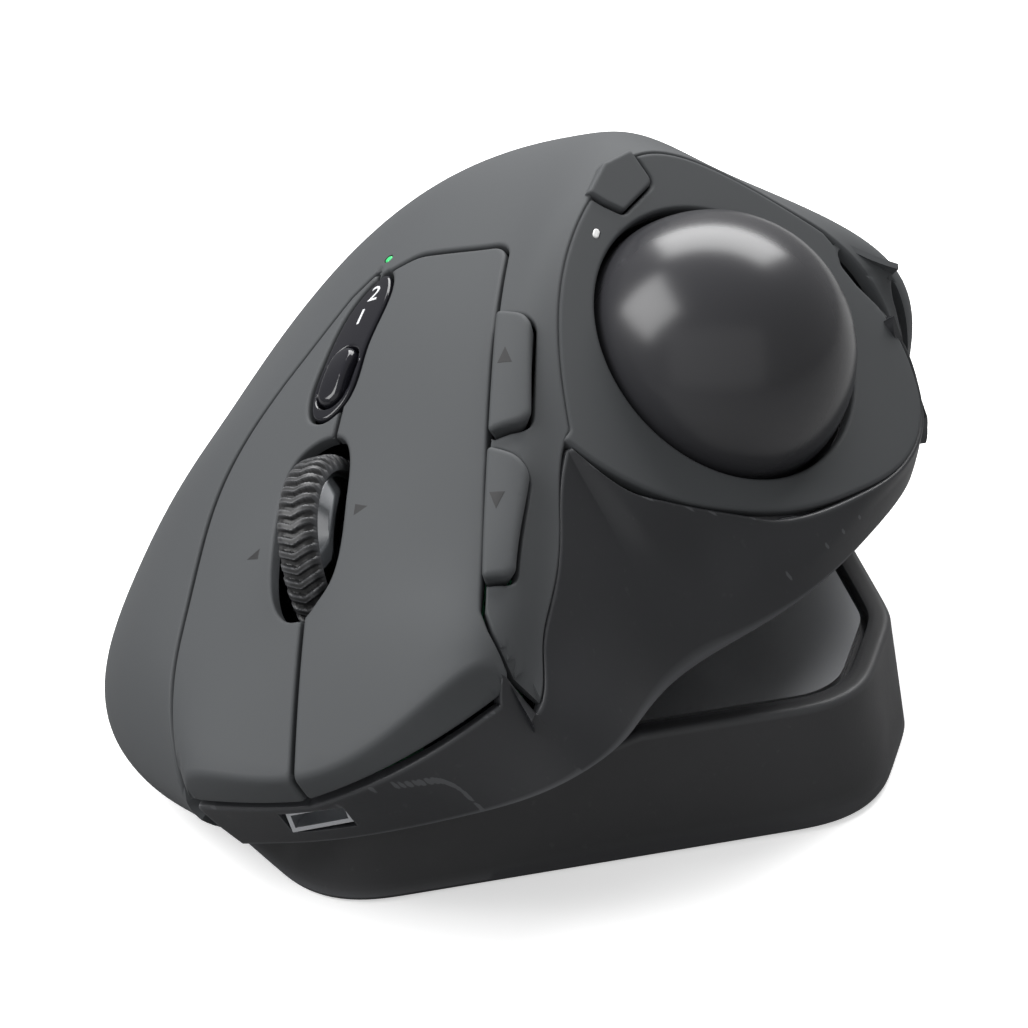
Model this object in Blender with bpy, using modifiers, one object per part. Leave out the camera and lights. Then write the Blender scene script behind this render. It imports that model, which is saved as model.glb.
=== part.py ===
"""Thumb-operated trackball mouse that leans on a two-position wedge base.

World frame: millimetres times MM, +X to the thumb side, -Y to the finger end, +Z up,
origin on the underside of the base. The mouse body is drawn in its own flat frame, whose
origin is the tilt hinge and whose z = 0 plane is parallel to the body's flat underside.
The empty "tilt_hinge" leans that frame by TILT, so that the thumb side is up.
"""

import math

import bmesh
import bpy
import numpy as np
from mathutils import Matrix, Vector

MM = 0.001

# Base and hinge
TILT = 20.0
HINGE_X = 2.0
HINGE_Z = 15.5
BASE_DRAFT = 2.2
PLATE_THICKNESS = 1.0
PLATE_INSET = 3.2
PLATE_RECESS = 1.6
PAD_THICKNESS = 1.4
PAD_INSET = 4.0
PIN_RADIUS = 1.4
PIN_LENGTH = 56.0

# Body
FLOOR = 0.4
FLOOR_THICKNESS = 2.0
SHELL = 1.8
GAP = 0.3
SEAM = 0.45
LIP_GAP = 1.0
LIP_CENTRE_Z = 7.4
LIP_RISE = 0.2

# Ball
BALL_RADIUS = 17.0
BALL_CENTRE = (27.3, 5.5, 25.0)
DECK_NORMAL = (0.802, -0.346, 0.487)
DECK_ABOVE_CENTRE = 3.4
DECK_THICKNESS = 2.0
DECK_LIP = 0.6
SIDE_REAR_Y = 28.5
RIM_CLEARANCE = 0.6
CUP_CLEARANCE = 0.8
CUP_THICKNESS = 1.4
CUP_EJECT_RADIUS = 5.0
BEARING_RADIUS = 1.25
BEARING_GAP = 0.15
BEARING_POLAR = 118.0
BEARINGS = {"bearing_front": -60.0, "bearing_rear": 60.0, "bearing_outer": 0.0}
SENSOR_DIRECTION = (-0.70, -0.45, -0.55)
SENSOR_SIDE = 7.0
SENSOR_DEPTH = 4.0
WINDOW_RADIUS = 2.6

# Scroll wheel
WHEEL_RADIUS = 12.0
WHEEL_WIDTH = 4.8
WHEEL_CENTRE = (-13.1, -24.5, 22.0)
TYRE_DEPTH = 2.2
AXLE_RADIUS = 1.5
SLOT_CENTRE = (-13.6, -28.1)
SLOT_SIZE = (9.2, 23.6)
YOKE_WALL = 1.6
YOKE_GAP = 0.6
YOKE_FLOOR = 1.4
YOKE_PIVOT_Z = 18.0
CLICK_PLATE_THICKNESS = 1.4
LEFT_HINGE = (7.0, 44.5)
RIGHT_HINGE = (5.8, 40.5)

# Electronics
BOARD_Z = 3.0
BOARD_THICKNESS = 1.0
BOARD_OUTLINE = ((-26, -47, 2), (6, -47, 2), (6, 28, 2), (-26, 28, 2))
SWITCH_SIZE = (6.0, 12.4, 6.4)
SWITCHES = {"left_switch": (3.0, -43.0), "right_switch": (-22.0, -43.0)}
MIDDLE_SWITCH_SIZE = (6.0, 6.0, 1.2)
ENCODER_SIZE = (3.4, 8.0, 14.5)
BATTERY_SIZE = (30.0, 22.0, 6.5)
BATTERY_PLACE = (-5.0, 41.5)
SOCKET_SIZE = (7.6, 5.4, 2.6)
POWER_SWITCH = (17.0, 25.8)
POWER_SWITCH_SIZE = (3.4, 5.0)
POWER_SWITCH_TRAVEL = 4.4
MAGNET_RADIUS = 4.5
MAGNET_THICKNESS = 1.8
SCREW_HEAD_RADIUS = 1.9
SCREW_SHANK_RADIUS = 1.1
SCREW_HEAD_HEIGHT = 1.0
SCREW_LENGTH = 5.0
SCREWS = {
    "front_left": (-30, -20),
    "rear_left": (-26, 40),
    "rear_right": (20, 43),
    "front_right": (30, -8),
}
MAGNETS = {"magnet_thumb_side": (13, -31), "magnet_finger_side": (-33, 8)}

# Buttons that stand proud of the shell
THUMB_BUTTON_PROUD = 1.1
MODE_BUTTON_PROUD = 0.5
DECK_BUTTON_PROUD = 0.4

NORMAL_SMOOTHING = 2

STATIONS_Y = (-60, -50, -40, -30, -20, -8, 5, 18, 26, 33, 46, 57, 64, 67)

# Rails of the upper body, (x, z) at each station, from the little-finger edge over the top
# to the thumb edge. The skirt and the deck plane trim the last two rails.
RAILS = {
    "foot": ((-12, -3), (-17, -3), (-29, -3), (-37, -3), (-41, -3), (-43, -3), (-43.5, -3),
             (-42.5, -3), (-41, -3), (-38.5, -3), (-31.5, -3), (-22, -3), (-11, -3), (-3, -3)),
    "wing": ((-22, 2), (-29.5, 6.4), (-38.8, 6.6), (-46.5, 8.4), (-49, 11.4), (-48, 13), (-46.3, 13),
             (-44.6, 12), (-43, 11.4), (-41, 10.8), (-34, 9), (-24.5, 7), (-12, 4), (-4, 0)),
    "shoulder_right": ((-24, 6.5), (-29, 11), (-34.5, 15), (-38.8, 19), (-40.5, 22.5), (-41, 25),
                       (-40, 25.9), (-38, 27), (-36.4, 26.8), (-34.6, 26), (-29, 21), (-20, 14),
                       (-10, 7), (-4, 1.5)),
    "mid_right": ((-24, 8.5), (-28, 13.6), (-30, 18.5), (-30.3, 23), (-29.5, 28), (-28.5, 33),
                  (-28, 35.2), (-27, 36.8), (-26, 36.9), (-24.6, 35.4), (-21, 30), (-14.5, 20.5),
                  (-7, 10), (-3, 2.5)),
    "centre": ((-12, 9.5), (-12, 16.5), (-12.5, 22.5), (-12.5, 27.5), (-11, 32), (-9.5, 38),
               (-8, 43.3), (-6, 46.8), (-5, 47), (-3.5, 45), (-1, 38.5), (1, 26.5), (2, 13.5),
               (2, 4)),
    "inner": ((6, 9), (9.3, 15.8), (9.6, 21.8), (9.8, 28), (9.7, 34.3), (9.4, 40.8), (9, 45.4),
              (10, 48.6), (11, 48.4), (12, 45.4), (13.5, 37), (13.5, 26), (11.5, 13), (9, 4)),
    "ridge": ((9.6, 4.5), (11.0, 9.6), (12.9, 19.2), (13.2, 27), (13.4, 33.4), (13.2, 41),
              (14.2, 46.4), (17.4, 48.8), (19, 47.3), (20, 42.6), (20.6, 33.5), (19.5, 24.5), (16, 12),
              (12, 4)),
    "edge": ((11.6, 1.5), (12.8, 6.0), (15.3, 13.4), (16, 22), (17, 30.2), (17.2, 39.8), (18.8, 46.2),
             (23.2, 47.2), (26.6, 41.5), (27, 36.6), (27.5, 26.5), (25, 19.5), (20, 9.5), (14.5, 3.5)),
    "flank": ((24, 3), (26, 8), (29, 13), (33, 18), (38, 22), (44, 26), (48, 29),
              (46, 28.5), (40.6, 25.4), (43.2, 19.9), (36.5, 14.5), (30.5, 11), (23, 5.5), (16.5, 2)),
    "thumb_foot": ((30, -3), (32, -3), (35, -3), (41, -3), (47, -3), (52, -3), (54, -3),
                   (53, -3), (42, -3), (34.5, -3), (33, -3), (30, -3), (24.5, -3), (17.5, -3)),
}

# Plan line along which the upper body stops on the thumb side: crease, deck edge, wing.
THUMB_LINE = ((11.5, -60), (11.5, -47.5), (14.6, -40), (15.6, -32), (16.9, -22), (18.6, -14), (19.4, -4),
              (20.4, 5), (22.4, 12.5), (25.4, 18.5), (31, 23.2), (38.5, 26), (44, 26.2), (50, 26.2), (70, 26))

# Outlines of the lower body at rising heights, from the finger end round the thumb side.
SKIRT_LEVELS = (-1.0, 6.0, 12.0, 20.0, 30.0, 46.0)
SKIRT = (
    ((-25, -48.5), (-12, -51.5), (3, -51.5), (12, -50), (17, -46), (19.7, -41), (20.7, -35.5),
     (22.5, -28.5), (26.5, -22.5), (32.5, -16), (37, -8), (40, 2), (41.5, 12), (40.5, 22), (36.5, 31)),
    ((-27.5, -51), (-12, -55), (2, -53.8), (10, -50), (15, -45.5), (17.6, -40.5), (19.2, -35),
     (21.2, -28.8), (25, -23.2), (31.5, -16), (37, -7.6), (41.2, 1), (44.4, 8), (45.6, 14), (39, 32)),
    ((-28.5, -52.5), (-12, -57.5), (0, -55.3), (6.8, -51.5), (11.6, -47), (14.8, -41), (17.3, -34.5),
     (19.8, -28.5), (23.5, -22.5), (31.8, -12.2), (38, -3.5), (43.5, 6), (46.4, 14), (45.4, 20), (41, 33)),
    ((-28.5, -52.5), (-12, -57.5), (0, -55.3), (6.8, -51.5), (10.6, -47), (13.4, -40), (16, -32.5),
     (18.2, -26), (20.6, -22), (24.2, -18.8), (32, -9.5), (40, 1), (46.5, 13), (43.6, 23), (43.8, 34)),
    ((-28.5, -52.5), (-12, -57.5), (0, -55.3), (6.5, -51.5), (9.5, -47), (12, -38.5), (14.3, -30),
     (16.2, -23), (17.6, -20), (23, -14), (33, -4), (42, 6), (46.5, 16), (45, 25), (45.5, 35)),
    ((-28.5, -52.5), (-12, -57.5), (0, -55.3), (6.5, -51.5), (9.5, -47), (12, -38.5), (14.3, -30),
     (16.2, -23), (18.5, -19), (26, -11), (36, 0), (44, 9), (49, 20), (49, 29), (49, 36)),
)
SKIRT_REAR = ((60, 50), (40, 80), (-60, 80), (-62, 0), (-48, -44))

# Plan outlines on the body, as (x, y) with a corner radius where a third number is given.
LEFT_BUTTON = ((-12, -70), (30, -70), (30, -52), (10.9, -46.2), (9.5, -30), (8.9, 3.4, 3.2),
               (-4, 7.2, 2), (-9.8, 6.0))
RIGHT_BUTTON = ((-12, -70), (-34, -70), (-30.2, -48), (-30.6, -32), (-28.6, -17), (-21.5, -4),
                (-13.6, 5.6), (-9.8, 6.0))
SEAM_LINE = ((-12.2, -70), (-12.4, -40), (-12.4, -20), (-11, -8), (-9.8, 6.5))
STRIP = ((-8.2, 7.6, 0.6), (-7.6, 3), (-9.3, -5), (-10.6, -11.4, 2), (-13.6, -14.2, 2.4), (-16.2, -12, 2),
         (-15.6, -5), (-12.6, 3))
MODE_BUTTON = (-12.9, -7.6)
MODE_BUTTON_SIZE = (3.4, 7.6)
MODE_BUTTON_TURN = -14.0
STATUS_LED = (-8.9, 9.4)
THUMB_BUTTONS = {
    "forward_button": ((9.7, -23.4, 0.5), (13.9, -22, 2.2), (13.9, -9.9, 2.2), (9.7, -8.4, 0.5)),
    "back_button": ((9.7, -39.6, 0.5), (12.7, -38.6, 1.6), (13.9, -26.3, 2.2), (9.7, -24.8, 0.5)),
}

# Places on the deck, in the deck's own plane: first number across, second up the slope.
DECK_BUTTON = ((-23.6, 3.2), (-21.1, 3.8), (-18.8, 4.7, 0.8), (-18.1, 11.3, 1.2), (-22.6, 12.9), (-24.2, 8.4))
DECK_LED = (-19.9, -0.6)
WING_POCKET = ((4.4, 23.6), (6.4, 21.7, 0.6), (9.2, 21), (14.5, 20.6), (18, 22), (13.4, 27.4), (8, 26.4))
WING_POCKET_DEPTH = 4.0
POCKET_WALL = 1.2

BASE_OUTLINE = ((-12.5, -50, 9), (44.4, -14.4, 15), (44, 8, 14), (27, 42, 14), (-18, 44, 18), (-36, 20, 16),
                (-36, -29.5, 5))
BASE_FRONT_RIM = ((-45, 7.5), (-10.7, 8.6), (2.4, 9.8), (19, 15.7))
BASE_FRONT_DEPTH = -22.0
BASE_FLOOR = 0.3


def wipe_scene():
    for item in list(bpy.data.objects):
        bpy.data.objects.remove(item, do_unlink=True)


def new_collection(name):
    made = bpy.data.collections.new(name)
    bpy.context.scene.collection.children.link(made)
    return made


def new_material(name, colour, roughness, metallic=0.0):
    made = bpy.data.materials.new(name)
    made.use_nodes = True
    shader = made.node_tree.nodes["Principled BSDF"]
    shader.inputs["Base Color"].default_value = (*colour, 1.0)
    shader.inputs["Roughness"].default_value = roughness
    shader.inputs["Metallic"].default_value = metallic
    return made


wipe_scene()
PARTS = new_collection("trackball_mouse")
CUTTERS = new_collection("cutters")
MATERIALS = {
    "graphite": new_material("graphite_plastic", (0.055, 0.057, 0.062), 0.5),
    "gloss": new_material("gloss_black", (0.012, 0.012, 0.014), 0.12),
    "ball": new_material("ball_resin", (0.035, 0.036, 0.04), 0.12),
    "rubber": new_material("black_rubber", (0.02, 0.02, 0.022), 0.75),
    "steel": new_material("satin_steel", (0.55, 0.56, 0.58), 0.35, 1.0),
    "chrome": new_material("bright_chrome", (0.75, 0.76, 0.78), 0.12, 1.0),
    "board": new_material("circuit_board", (0.02, 0.16, 0.07), 0.5),
    "acetal": new_material("white_acetal", (0.75, 0.75, 0.73), 0.4),
    "green": new_material("green_light", (0.05, 0.7, 0.2), 0.3),
    "white": new_material("white_light", (0.9, 0.9, 0.9), 0.3),
    "ruby": new_material("bearing_ceramic", (0.85, 0.84, 0.82), 0.15),
    "foil": new_material("battery_foil", (0.35, 0.36, 0.38), 0.4),
}


def new_empty(name, place, parent=None):
    made = bpy.data.objects.new(name, None)
    made.location = Vector(place) * MM
    made.parent = parent
    PARTS.objects.link(made)
    return made


BODY = new_empty("tilt_hinge", (HINGE_X, 0, HINGE_Z))
BODY.rotation_euler = (0, -math.radians(TILT), 0)


def add_object(name, mesh, material=None, parent=BODY, cutter=False):
    """A node when it has a material, a hidden cutter otherwise."""
    made = bpy.data.objects.new(name, mesh)
    made.parent = parent
    if cutter:
        made.hide_render = True
        made.display_type = "WIRE"
        CUTTERS.objects.link(made)
    else:
        mesh.materials.append(MATERIALS[material])
        PARTS.objects.link(made)
    return made


def mesh_from(name, vertices, faces):
    mesh = bpy.data.meshes.new(name)
    mesh.from_pydata([Vector(v) * MM for v in vertices], [], faces)
    work = bmesh.new()
    work.from_mesh(mesh)
    bmesh.ops.recalc_face_normals(work, faces=work.faces)
    work.to_mesh(mesh)
    work.free()
    mesh.shade_smooth()
    mesh.set_sharp_from_angle(angle=math.radians(32))
    return mesh


def combine(target, other, operation):
    step = target.modifiers.new(f"{operation.lower()}_{other.name}", "BOOLEAN")
    step.object = other
    step.operation = operation
    step.solver = "MANIFOLD"
    return step


def cut(target, *others):
    for other in others:
        combine(target, other, "DIFFERENCE")


def keep(target, *others):
    for other in others:
        combine(target, other, "INTERSECT")


def spline(knots, values, at):
    """Natural cubic through values at knots, read at each place in at."""
    knots = np.asarray(knots, float)
    values = np.asarray(values, float).reshape(len(knots), -1)
    step = np.diff(knots)
    count = len(knots)
    matrix = np.eye(count)
    right = np.zeros_like(values)
    for i in range(1, count - 1):
        matrix[i, i - 1: i + 2] = step[i - 1], 2 * (step[i - 1] + step[i]), step[i]
        right[i] = 6 * ((values[i + 1] - values[i]) / step[i] - (values[i] - values[i - 1]) / step[i - 1])
    bend = np.linalg.solve(matrix, right)
    i = np.clip(np.searchsorted(knots, at, side="right") - 1, 0, count - 2)
    h = step[i][:, None]
    a = (knots[i + 1] - at)[:, None] / h
    b = 1 - a
    return a * values[i] + b * values[i + 1] + ((a**3 - a) * bend[i] + (b**3 - b) * bend[i + 1]) * h**2 / 6


def chord_knots(points):
    lengths = np.linalg.norm(np.diff(points, axis=0), axis=1)
    return np.concatenate(([0.0], np.cumsum(np.maximum(lengths, 1e-6) ** 0.7)))


def crown_grid(across=34, along=30):
    """Points of the upper surface: rails splined along the body, then splined across."""
    names = list(RAILS)
    u = np.linspace(0, len(STATIONS_Y) - 1, along)
    knots = np.arange(len(STATIONS_Y))
    y = spline(knots, STATIONS_Y, u)[:, 0]
    rails = np.stack([spline(knots, RAILS[name], u) for name in names], axis=1)
    grid = np.empty((along, across, 3))
    for row in range(along):
        knots_across = chord_knots(rails[row])
        at = np.linspace(0, knots_across[-1], across)
        grid[row, :, 0] = spline(knots_across, rails[row][:, 0], at)[:, 0]
        grid[row, :, 2] = spline(knots_across, rails[row][:, 1], at)[:, 0]
        grid[row, :, 1] = y[row]
    return grid


def grid_normals(grid):
    along, across = np.gradient(grid, axis=0), np.gradient(grid, axis=1)
    normal = np.cross(along, across)
    normal /= np.maximum(np.linalg.norm(normal, axis=2, keepdims=True), 1e-9)
    for _ in range(NORMAL_SMOOTHING):
        wide = np.pad(normal, ((0, 0), (1, 1), (0, 0)), mode="edge")
        normal = (wide[:, :-2] + 2 * normal + wide[:, 2:]) / 4
    return normal / np.linalg.norm(normal, axis=2, keepdims=True)


def crown(name, depth):
    """Closed volume under the upper surface moved inwards by depth."""
    grid = crown_grid()
    grid = grid + depth * grid_normals(grid) * np.array([1, 1 if depth > 0 else 0.2, 1])
    grid[:, 0, 2] = grid[:, -1, 2] = -6
    rows, columns = grid.shape[:2]
    index = np.arange(rows * columns).reshape(rows, columns)
    faces = [
        (index[r, c], index[r, c + 1], index[r + 1, c + 1], index[r + 1, c])
        for r in range(rows - 1)
        for c in range(columns - 1)
    ]
    faces.append(tuple(index[0]))
    faces.append(tuple(index[-1][::-1]))
    faces += [(index[r, 0], index[r + 1, 0], index[r + 1, -1], index[r, -1]) for r in range(rows - 1)]
    return add_object(name, mesh_from(name, grid.reshape(-1, 3), faces), cutter=True)


def skirt_loop(level, inwards, count=96):
    points = np.array(SKIRT[level] + SKIRT_REAR, float)
    shaped = len(SKIRT[level])
    at = chord_knots(points[:shaped])
    smooth = spline(at, points[:shaped], np.linspace(0, at[-1], count - len(SKIRT_REAR)))
    loop = np.vstack((smooth, points[shaped:]))
    ahead = np.roll(loop, -1, axis=0) - np.roll(loop, 1, axis=0)
    inner = np.stack((-ahead[:, 1], ahead[:, 0]), axis=1)
    return loop + inwards * inner / np.linalg.norm(inner, axis=1, keepdims=True)


def skirt(name, inwards):
    """Closed volume inside the stacked outlines of the lower body."""
    loops = []
    levels = np.array(SKIRT_LEVELS)
    rows = np.concatenate((np.linspace(-1, 12, 6), np.linspace(15, 30, 5), (38, 60)))
    shaped = np.array([skirt_loop(i, inwards) for i in range(len(levels))])
    flat = spline(levels, shaped.reshape(len(levels), -1), np.minimum(rows, levels[-1]))
    for height, row in zip(rows, flat.reshape(len(rows), -1, 2)):
        lowered = -6 if height == rows[0] else height
        loops.append(np.column_stack((row, np.full(len(row), lowered))))
    count = len(loops[0])
    faces = [
        (r * count + i, r * count + (i + 1) % count, (r + 1) * count + (i + 1) % count, (r + 1) * count + i)
        for r in range(len(loops) - 1)
        for i in range(count)
    ]
    faces.append(tuple(range(count))[::-1])
    faces.append(tuple(range((len(loops) - 1) * count, len(loops) * count)))
    return add_object(name, mesh_from(name, np.vstack(loops), faces), cutter=True)


def rounded(outline, steps=5):
    """Outline with each corner that names a radius replaced by an arc that touches both sides."""
    points = []
    for i, corner in enumerate(outline):
        here = Vector(corner[:2])
        if len(corner) < 3:
            points.append(here)
            continue
        before = (Vector(outline[i - 1][:2]) - here).normalized()
        after = (Vector(outline[(i + 1) % len(outline)][:2]) - here).normalized()
        half = before.angle(after) / 2
        centre = here + (before + after).normalized() * corner[2] / math.sin(half)
        start = here + before * corner[2] / math.tan(half) - centre
        end = here + after * corner[2] / math.tan(half) - centre
        turn = start.angle_signed(end)
        for k in range(steps + 1):
            swing = Matrix.Rotation(-turn * k / steps, 2)
            points.append(centre + swing @ start)
    return [tuple(p) for p in points]


def grown(outline, by):
    """Closed outline moved outwards by the given distance, corners mitred."""
    points = np.array(outline, float)
    x, y = points[:, 0], points[:, 1]
    turn = 1 if np.sum(x * np.roll(y, -1) - np.roll(x, -1) * y) > 0 else -1
    edge = np.roll(points, -1, axis=0) - points
    edge /= np.linalg.norm(edge, axis=1, keepdims=True)
    side = np.stack((edge[:, 1], -edge[:, 0]), axis=1) * turn
    both = side + np.roll(side, 1, axis=0)
    scale = 2 * by / np.maximum(np.sum(both * both, axis=1, keepdims=True), 0.4)
    return [tuple(p) for p in points + both * scale]


def prism(name, outline, low, high, material=None, parent=BODY, cutter=True, matrix=None, taper=0.0):
    """Closed outline drawn along z; matrix places the drawing plane."""
    top = grown(outline, -taper) if taper else outline
    count = len(outline)
    vertices = [Vector((x, y, low)) for x, y in outline] + [Vector((x, y, high)) for x, y in top]
    if matrix is not None:
        vertices = [matrix @ v for v in vertices]
    faces = [(i, (i + 1) % count, (i + 1) % count + count, i + count) for i in range(count)]
    faces += [tuple(range(count))[::-1], tuple(range(count, 2 * count))]
    mesh = mesh_from(name, vertices, faces)
    return add_object(name, mesh, material, parent, cutter)


def obround(centre, size, turn=0.0, steps=8):
    """Rounded slot outline: size is (width, length) with the length along y before the turn."""
    radius, reach = size[0] / 2, size[1] / 2 - size[0] / 2
    swing = Matrix.Rotation(math.radians(turn), 2)
    points = []
    for end, first in ((reach, 0.0), (-reach, math.pi)):
        for k in range(steps + 1):
            angle = first + math.pi * k / steps
            points.append(Vector((radius * math.cos(angle), end + radius * math.sin(angle))))
    return [tuple(Vector(centre) + swing @ p) for p in points]


def frame_along(direction, place):
    """Matrix whose z runs along direction and whose origin is place."""
    turn = Vector(direction).to_track_quat("Z", "Y").to_matrix().to_4x4()
    return Matrix.Translation(Vector(place)) @ turn


def cylinder(name, radius, low, high, matrix, material=None, parent=BODY, cutter=False, sides=32):
    work = bmesh.new()
    made = bmesh.ops.create_cone(
        work, cap_ends=True, segments=sides, radius1=radius, radius2=radius, depth=high - low
    )
    bmesh.ops.translate(work, verts=made["verts"], vec=(0, 0, (low + high) / 2))
    bmesh.ops.transform(work, verts=work.verts, matrix=matrix)
    bmesh.ops.scale(work, verts=work.verts, vec=(MM, MM, MM))
    mesh = bpy.data.meshes.new(name)
    work.to_mesh(mesh)
    work.free()
    mesh.shade_smooth()
    mesh.set_sharp_from_angle(angle=math.radians(40))
    return add_object(name, mesh, material, parent, cutter)


def box(name, low, high, material=None, parent=BODY, cutter=False, bevel=0.0):
    work = bmesh.new()
    made = bmesh.ops.create_cube(work, size=1)
    size = Vector(high) - Vector(low)
    bmesh.ops.scale(work, verts=made["verts"], vec=size)
    bmesh.ops.translate(work, verts=made["verts"], vec=(Vector(high) + Vector(low)) / 2)
    if bevel:
        bmesh.ops.bevel(work, geom=work.edges[:], offset=bevel, segments=2, profile=0.5, affect="EDGES")
    bmesh.ops.scale(work, verts=work.verts, vec=(MM, MM, MM))
    mesh = bpy.data.meshes.new(name)
    work.to_mesh(mesh)
    work.free()
    return add_object(name, mesh, material, parent, cutter)


def sphere(name, radius, place, material=None, parent=BODY, cutter=False, segments=32, rings=16):
    work = bmesh.new()
    bmesh.ops.create_uvsphere(work, u_segments=segments, v_segments=rings, radius=radius)
    bmesh.ops.transform(work, verts=work.verts, matrix=Matrix.Translation(Vector(place)))
    bmesh.ops.scale(work, verts=work.verts, vec=(MM, MM, MM))
    mesh = bpy.data.meshes.new(name)
    work.to_mesh(mesh)
    work.free()
    mesh.shade_smooth()
    return add_object(name, mesh, material, parent, cutter)


def deck_frame():
    """Deck plane: z along its normal, y up the slope to the rear, origin above the ball's centre."""
    normal = Vector(DECK_NORMAL).normalized()
    up = Vector((0, 1, 0))
    up = (up - normal * up.dot(normal)).normalized()
    across = up.cross(normal)
    turn = Matrix((across, up, normal)).transposed().to_4x4()
    return Matrix.Translation(Vector(BALL_CENTRE) + normal * DECK_ABOVE_CENTRE) @ turn


DECK = deck_frame()


def deck_block(name, low, high):
    """Everything between two heights above the deck plane."""
    side = 90
    outline = ((-side, -side), (side, -side), (side, side), (-side, side))
    return prism(name, outline, low, high, matrix=DECK)


def lip_line(x):
    """Height of the finger buttons' lower front edge."""
    return LIP_CENTRE_Z + LIP_RISE * max(0.0, x - WHEEL_CENTRE[0]) + 0.05 * max(0.0, WHEEL_CENTRE[0] - x)


def lip_wedge(name, lower, x_from, x_to, y_to):
    """Block above the front lip line, lowered by the given distance, to the front of y_to."""
    sections = [(x_from, 90), (x_to, 90), (x_to, lip_line(x_to) - lower),
                (WHEEL_CENTRE[0], lip_line(WHEEL_CENTRE[0]) - lower), (x_from, lip_line(x_from) - lower)]
    turn = Matrix(((1, 0, 0, 0), (0, 0, 1, 0), (0, 1, 0, 0), (0, 0, 0, 1)))
    return prism(name, sections, -80, y_to, matrix=turn)


def seam_half(name, side, gap):
    """Block on one side of the centre seam: side is +1 for the thumb side."""
    line = [(x + side * gap / 2, y) for x, y in SEAM_LINE]
    return prism(name, line + [(side * 70, 30), (side * 70, -70)], -5, 70)


def make_shapes():
    shapes = {
        "crown": crown("crown_outer", 0),
        "crown_in": crown("crown_inner", SHELL),
        "crown_clear": crown("crown_clear", SHELL + GAP),
        "skirt": skirt("skirt_outer", 0),
        "skirt_in": skirt("skirt_inner", SHELL),
        "skirt_clear": skirt("skirt_clear", SHELL + GAP),
        "above_deck": deck_block("above_deck", 0, 90),
        "above_side": deck_block("above_side", -DECK_LIP - GAP, 90),
        "above_floor": box("above_floor", (-90, -90, FLOOR), (90, 90, 90), cutter=True),
    }
    keep(shapes["crown_in"], shapes["skirt_in"])
    return shapes


def crown_like(name, depth_name, material):
    source = bpy.data.objects[depth_name]
    return add_object(name, source.data.copy(), material)


def make_top(shapes):
    palm = crown_like("palm_shell", "crown_outer", "graphite")
    left_out = prism("left_button_hole", rounded(LEFT_BUTTON), -8, 70)
    right_out = prism("right_button_hole", rounded(RIGHT_BUTTON), -8, 70)
    keep(palm, shapes["skirt"], shapes["above_floor"])
    thumb_zone = prism("thumb_zone", THUMB_LINE + ((70, -60),), -8, 70)
    hollow = crown("front_hollow", SHELL)
    keep(hollow, box("front_zone", (-90, -90, -20), (90, SIDE_REAR_Y - GAP, 90), cutter=True))
    cut(palm, shapes["crown_in"], hollow, shapes["above_deck"], left_out, right_out, thumb_zone)
    front = box("front_cut", (-28.6, -80, -8), (10.8, -38, 9), cutter=True)
    cut(palm, front)

    slot = prism("wheel_slot", obround(SLOT_CENTRE, SLOT_SIZE), -8, 70)
    strip_hole = prism("strip_hole", grown(rounded(STRIP), SEAM / 2), -8, 70)
    wedge = lip_wedge("button_zone", 0, -40, 30, 30)
    for name, outline, side in (("left_button", LEFT_BUTTON, 1), ("right_button", RIGHT_BUTTON, -1)):
        plate = crown_like(name, "crown_outer", "graphite")
        keep(plate, shapes["skirt"], prism(f"{name}_zone", grown(rounded(outline), -SEAM), 2, 70))
        cut(plate, shapes["crown_in"], slot, strip_hole)
        keep(plate, wedge, seam_half(f"{name}_half", side, SEAM))
    cut(palm, strip_hole)

    strip = crown_like("mode_strip", "crown_outer", "gloss")
    keep(strip, prism("strip_zone", grown(rounded(STRIP), -SEAM / 2), -8, 70))
    cut(strip, shapes["crown_in"])
    button_outline = obround(MODE_BUTTON, MODE_BUTTON_SIZE, MODE_BUTTON_TURN)
    cut(strip, prism("mode_button_hole", grown(button_outline, GAP), -8, 70))
    crown("crown_mode", -MODE_BUTTON_PROUD)
    mode = crown_like("mode_button", "crown_mode", "gloss")
    keep(mode, prism("mode_button_zone", button_outline, -8, 70))
    cut(mode, crown("crown_mode_in", SHELL + 0.6))

    led = frame_along((-0.1, -0.3, 1), (*STATUS_LED, 0))
    cut(palm, cylinder("status_led_hole", 1.0, 30, 60, led, cutter=True))
    light = cylinder("status_led", 0.75, 30, 60, led, "green", sides=16)
    keep(light, shapes["crown"])
    cut(light, crown("crown_led_in", SHELL + 1.0))
    strip_led = cylinder("strip_led_hole", 1.0, 30, 60, led, cutter=True)
    cut(strip, strip_led)

    crown("crown_thumb", -THUMB_BUTTON_PROUD)
    thumb_in = crown("crown_thumb_in", SHELL + 0.4)
    for name, corners in THUMB_BUTTONS.items():
        outline = rounded(corners)
        hole = prism(f"{name}_hole", grown(outline, GAP), -8, 70)
        cut(palm, hole)
        cut(bpy.data.objects["left_button"], hole)
        key = crown_like(name, "crown_thumb", "graphite")
        keep(key, prism(f"{name}_zone", outline, 6, 70))
        cut(key, thumb_in)
    return palm


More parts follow.
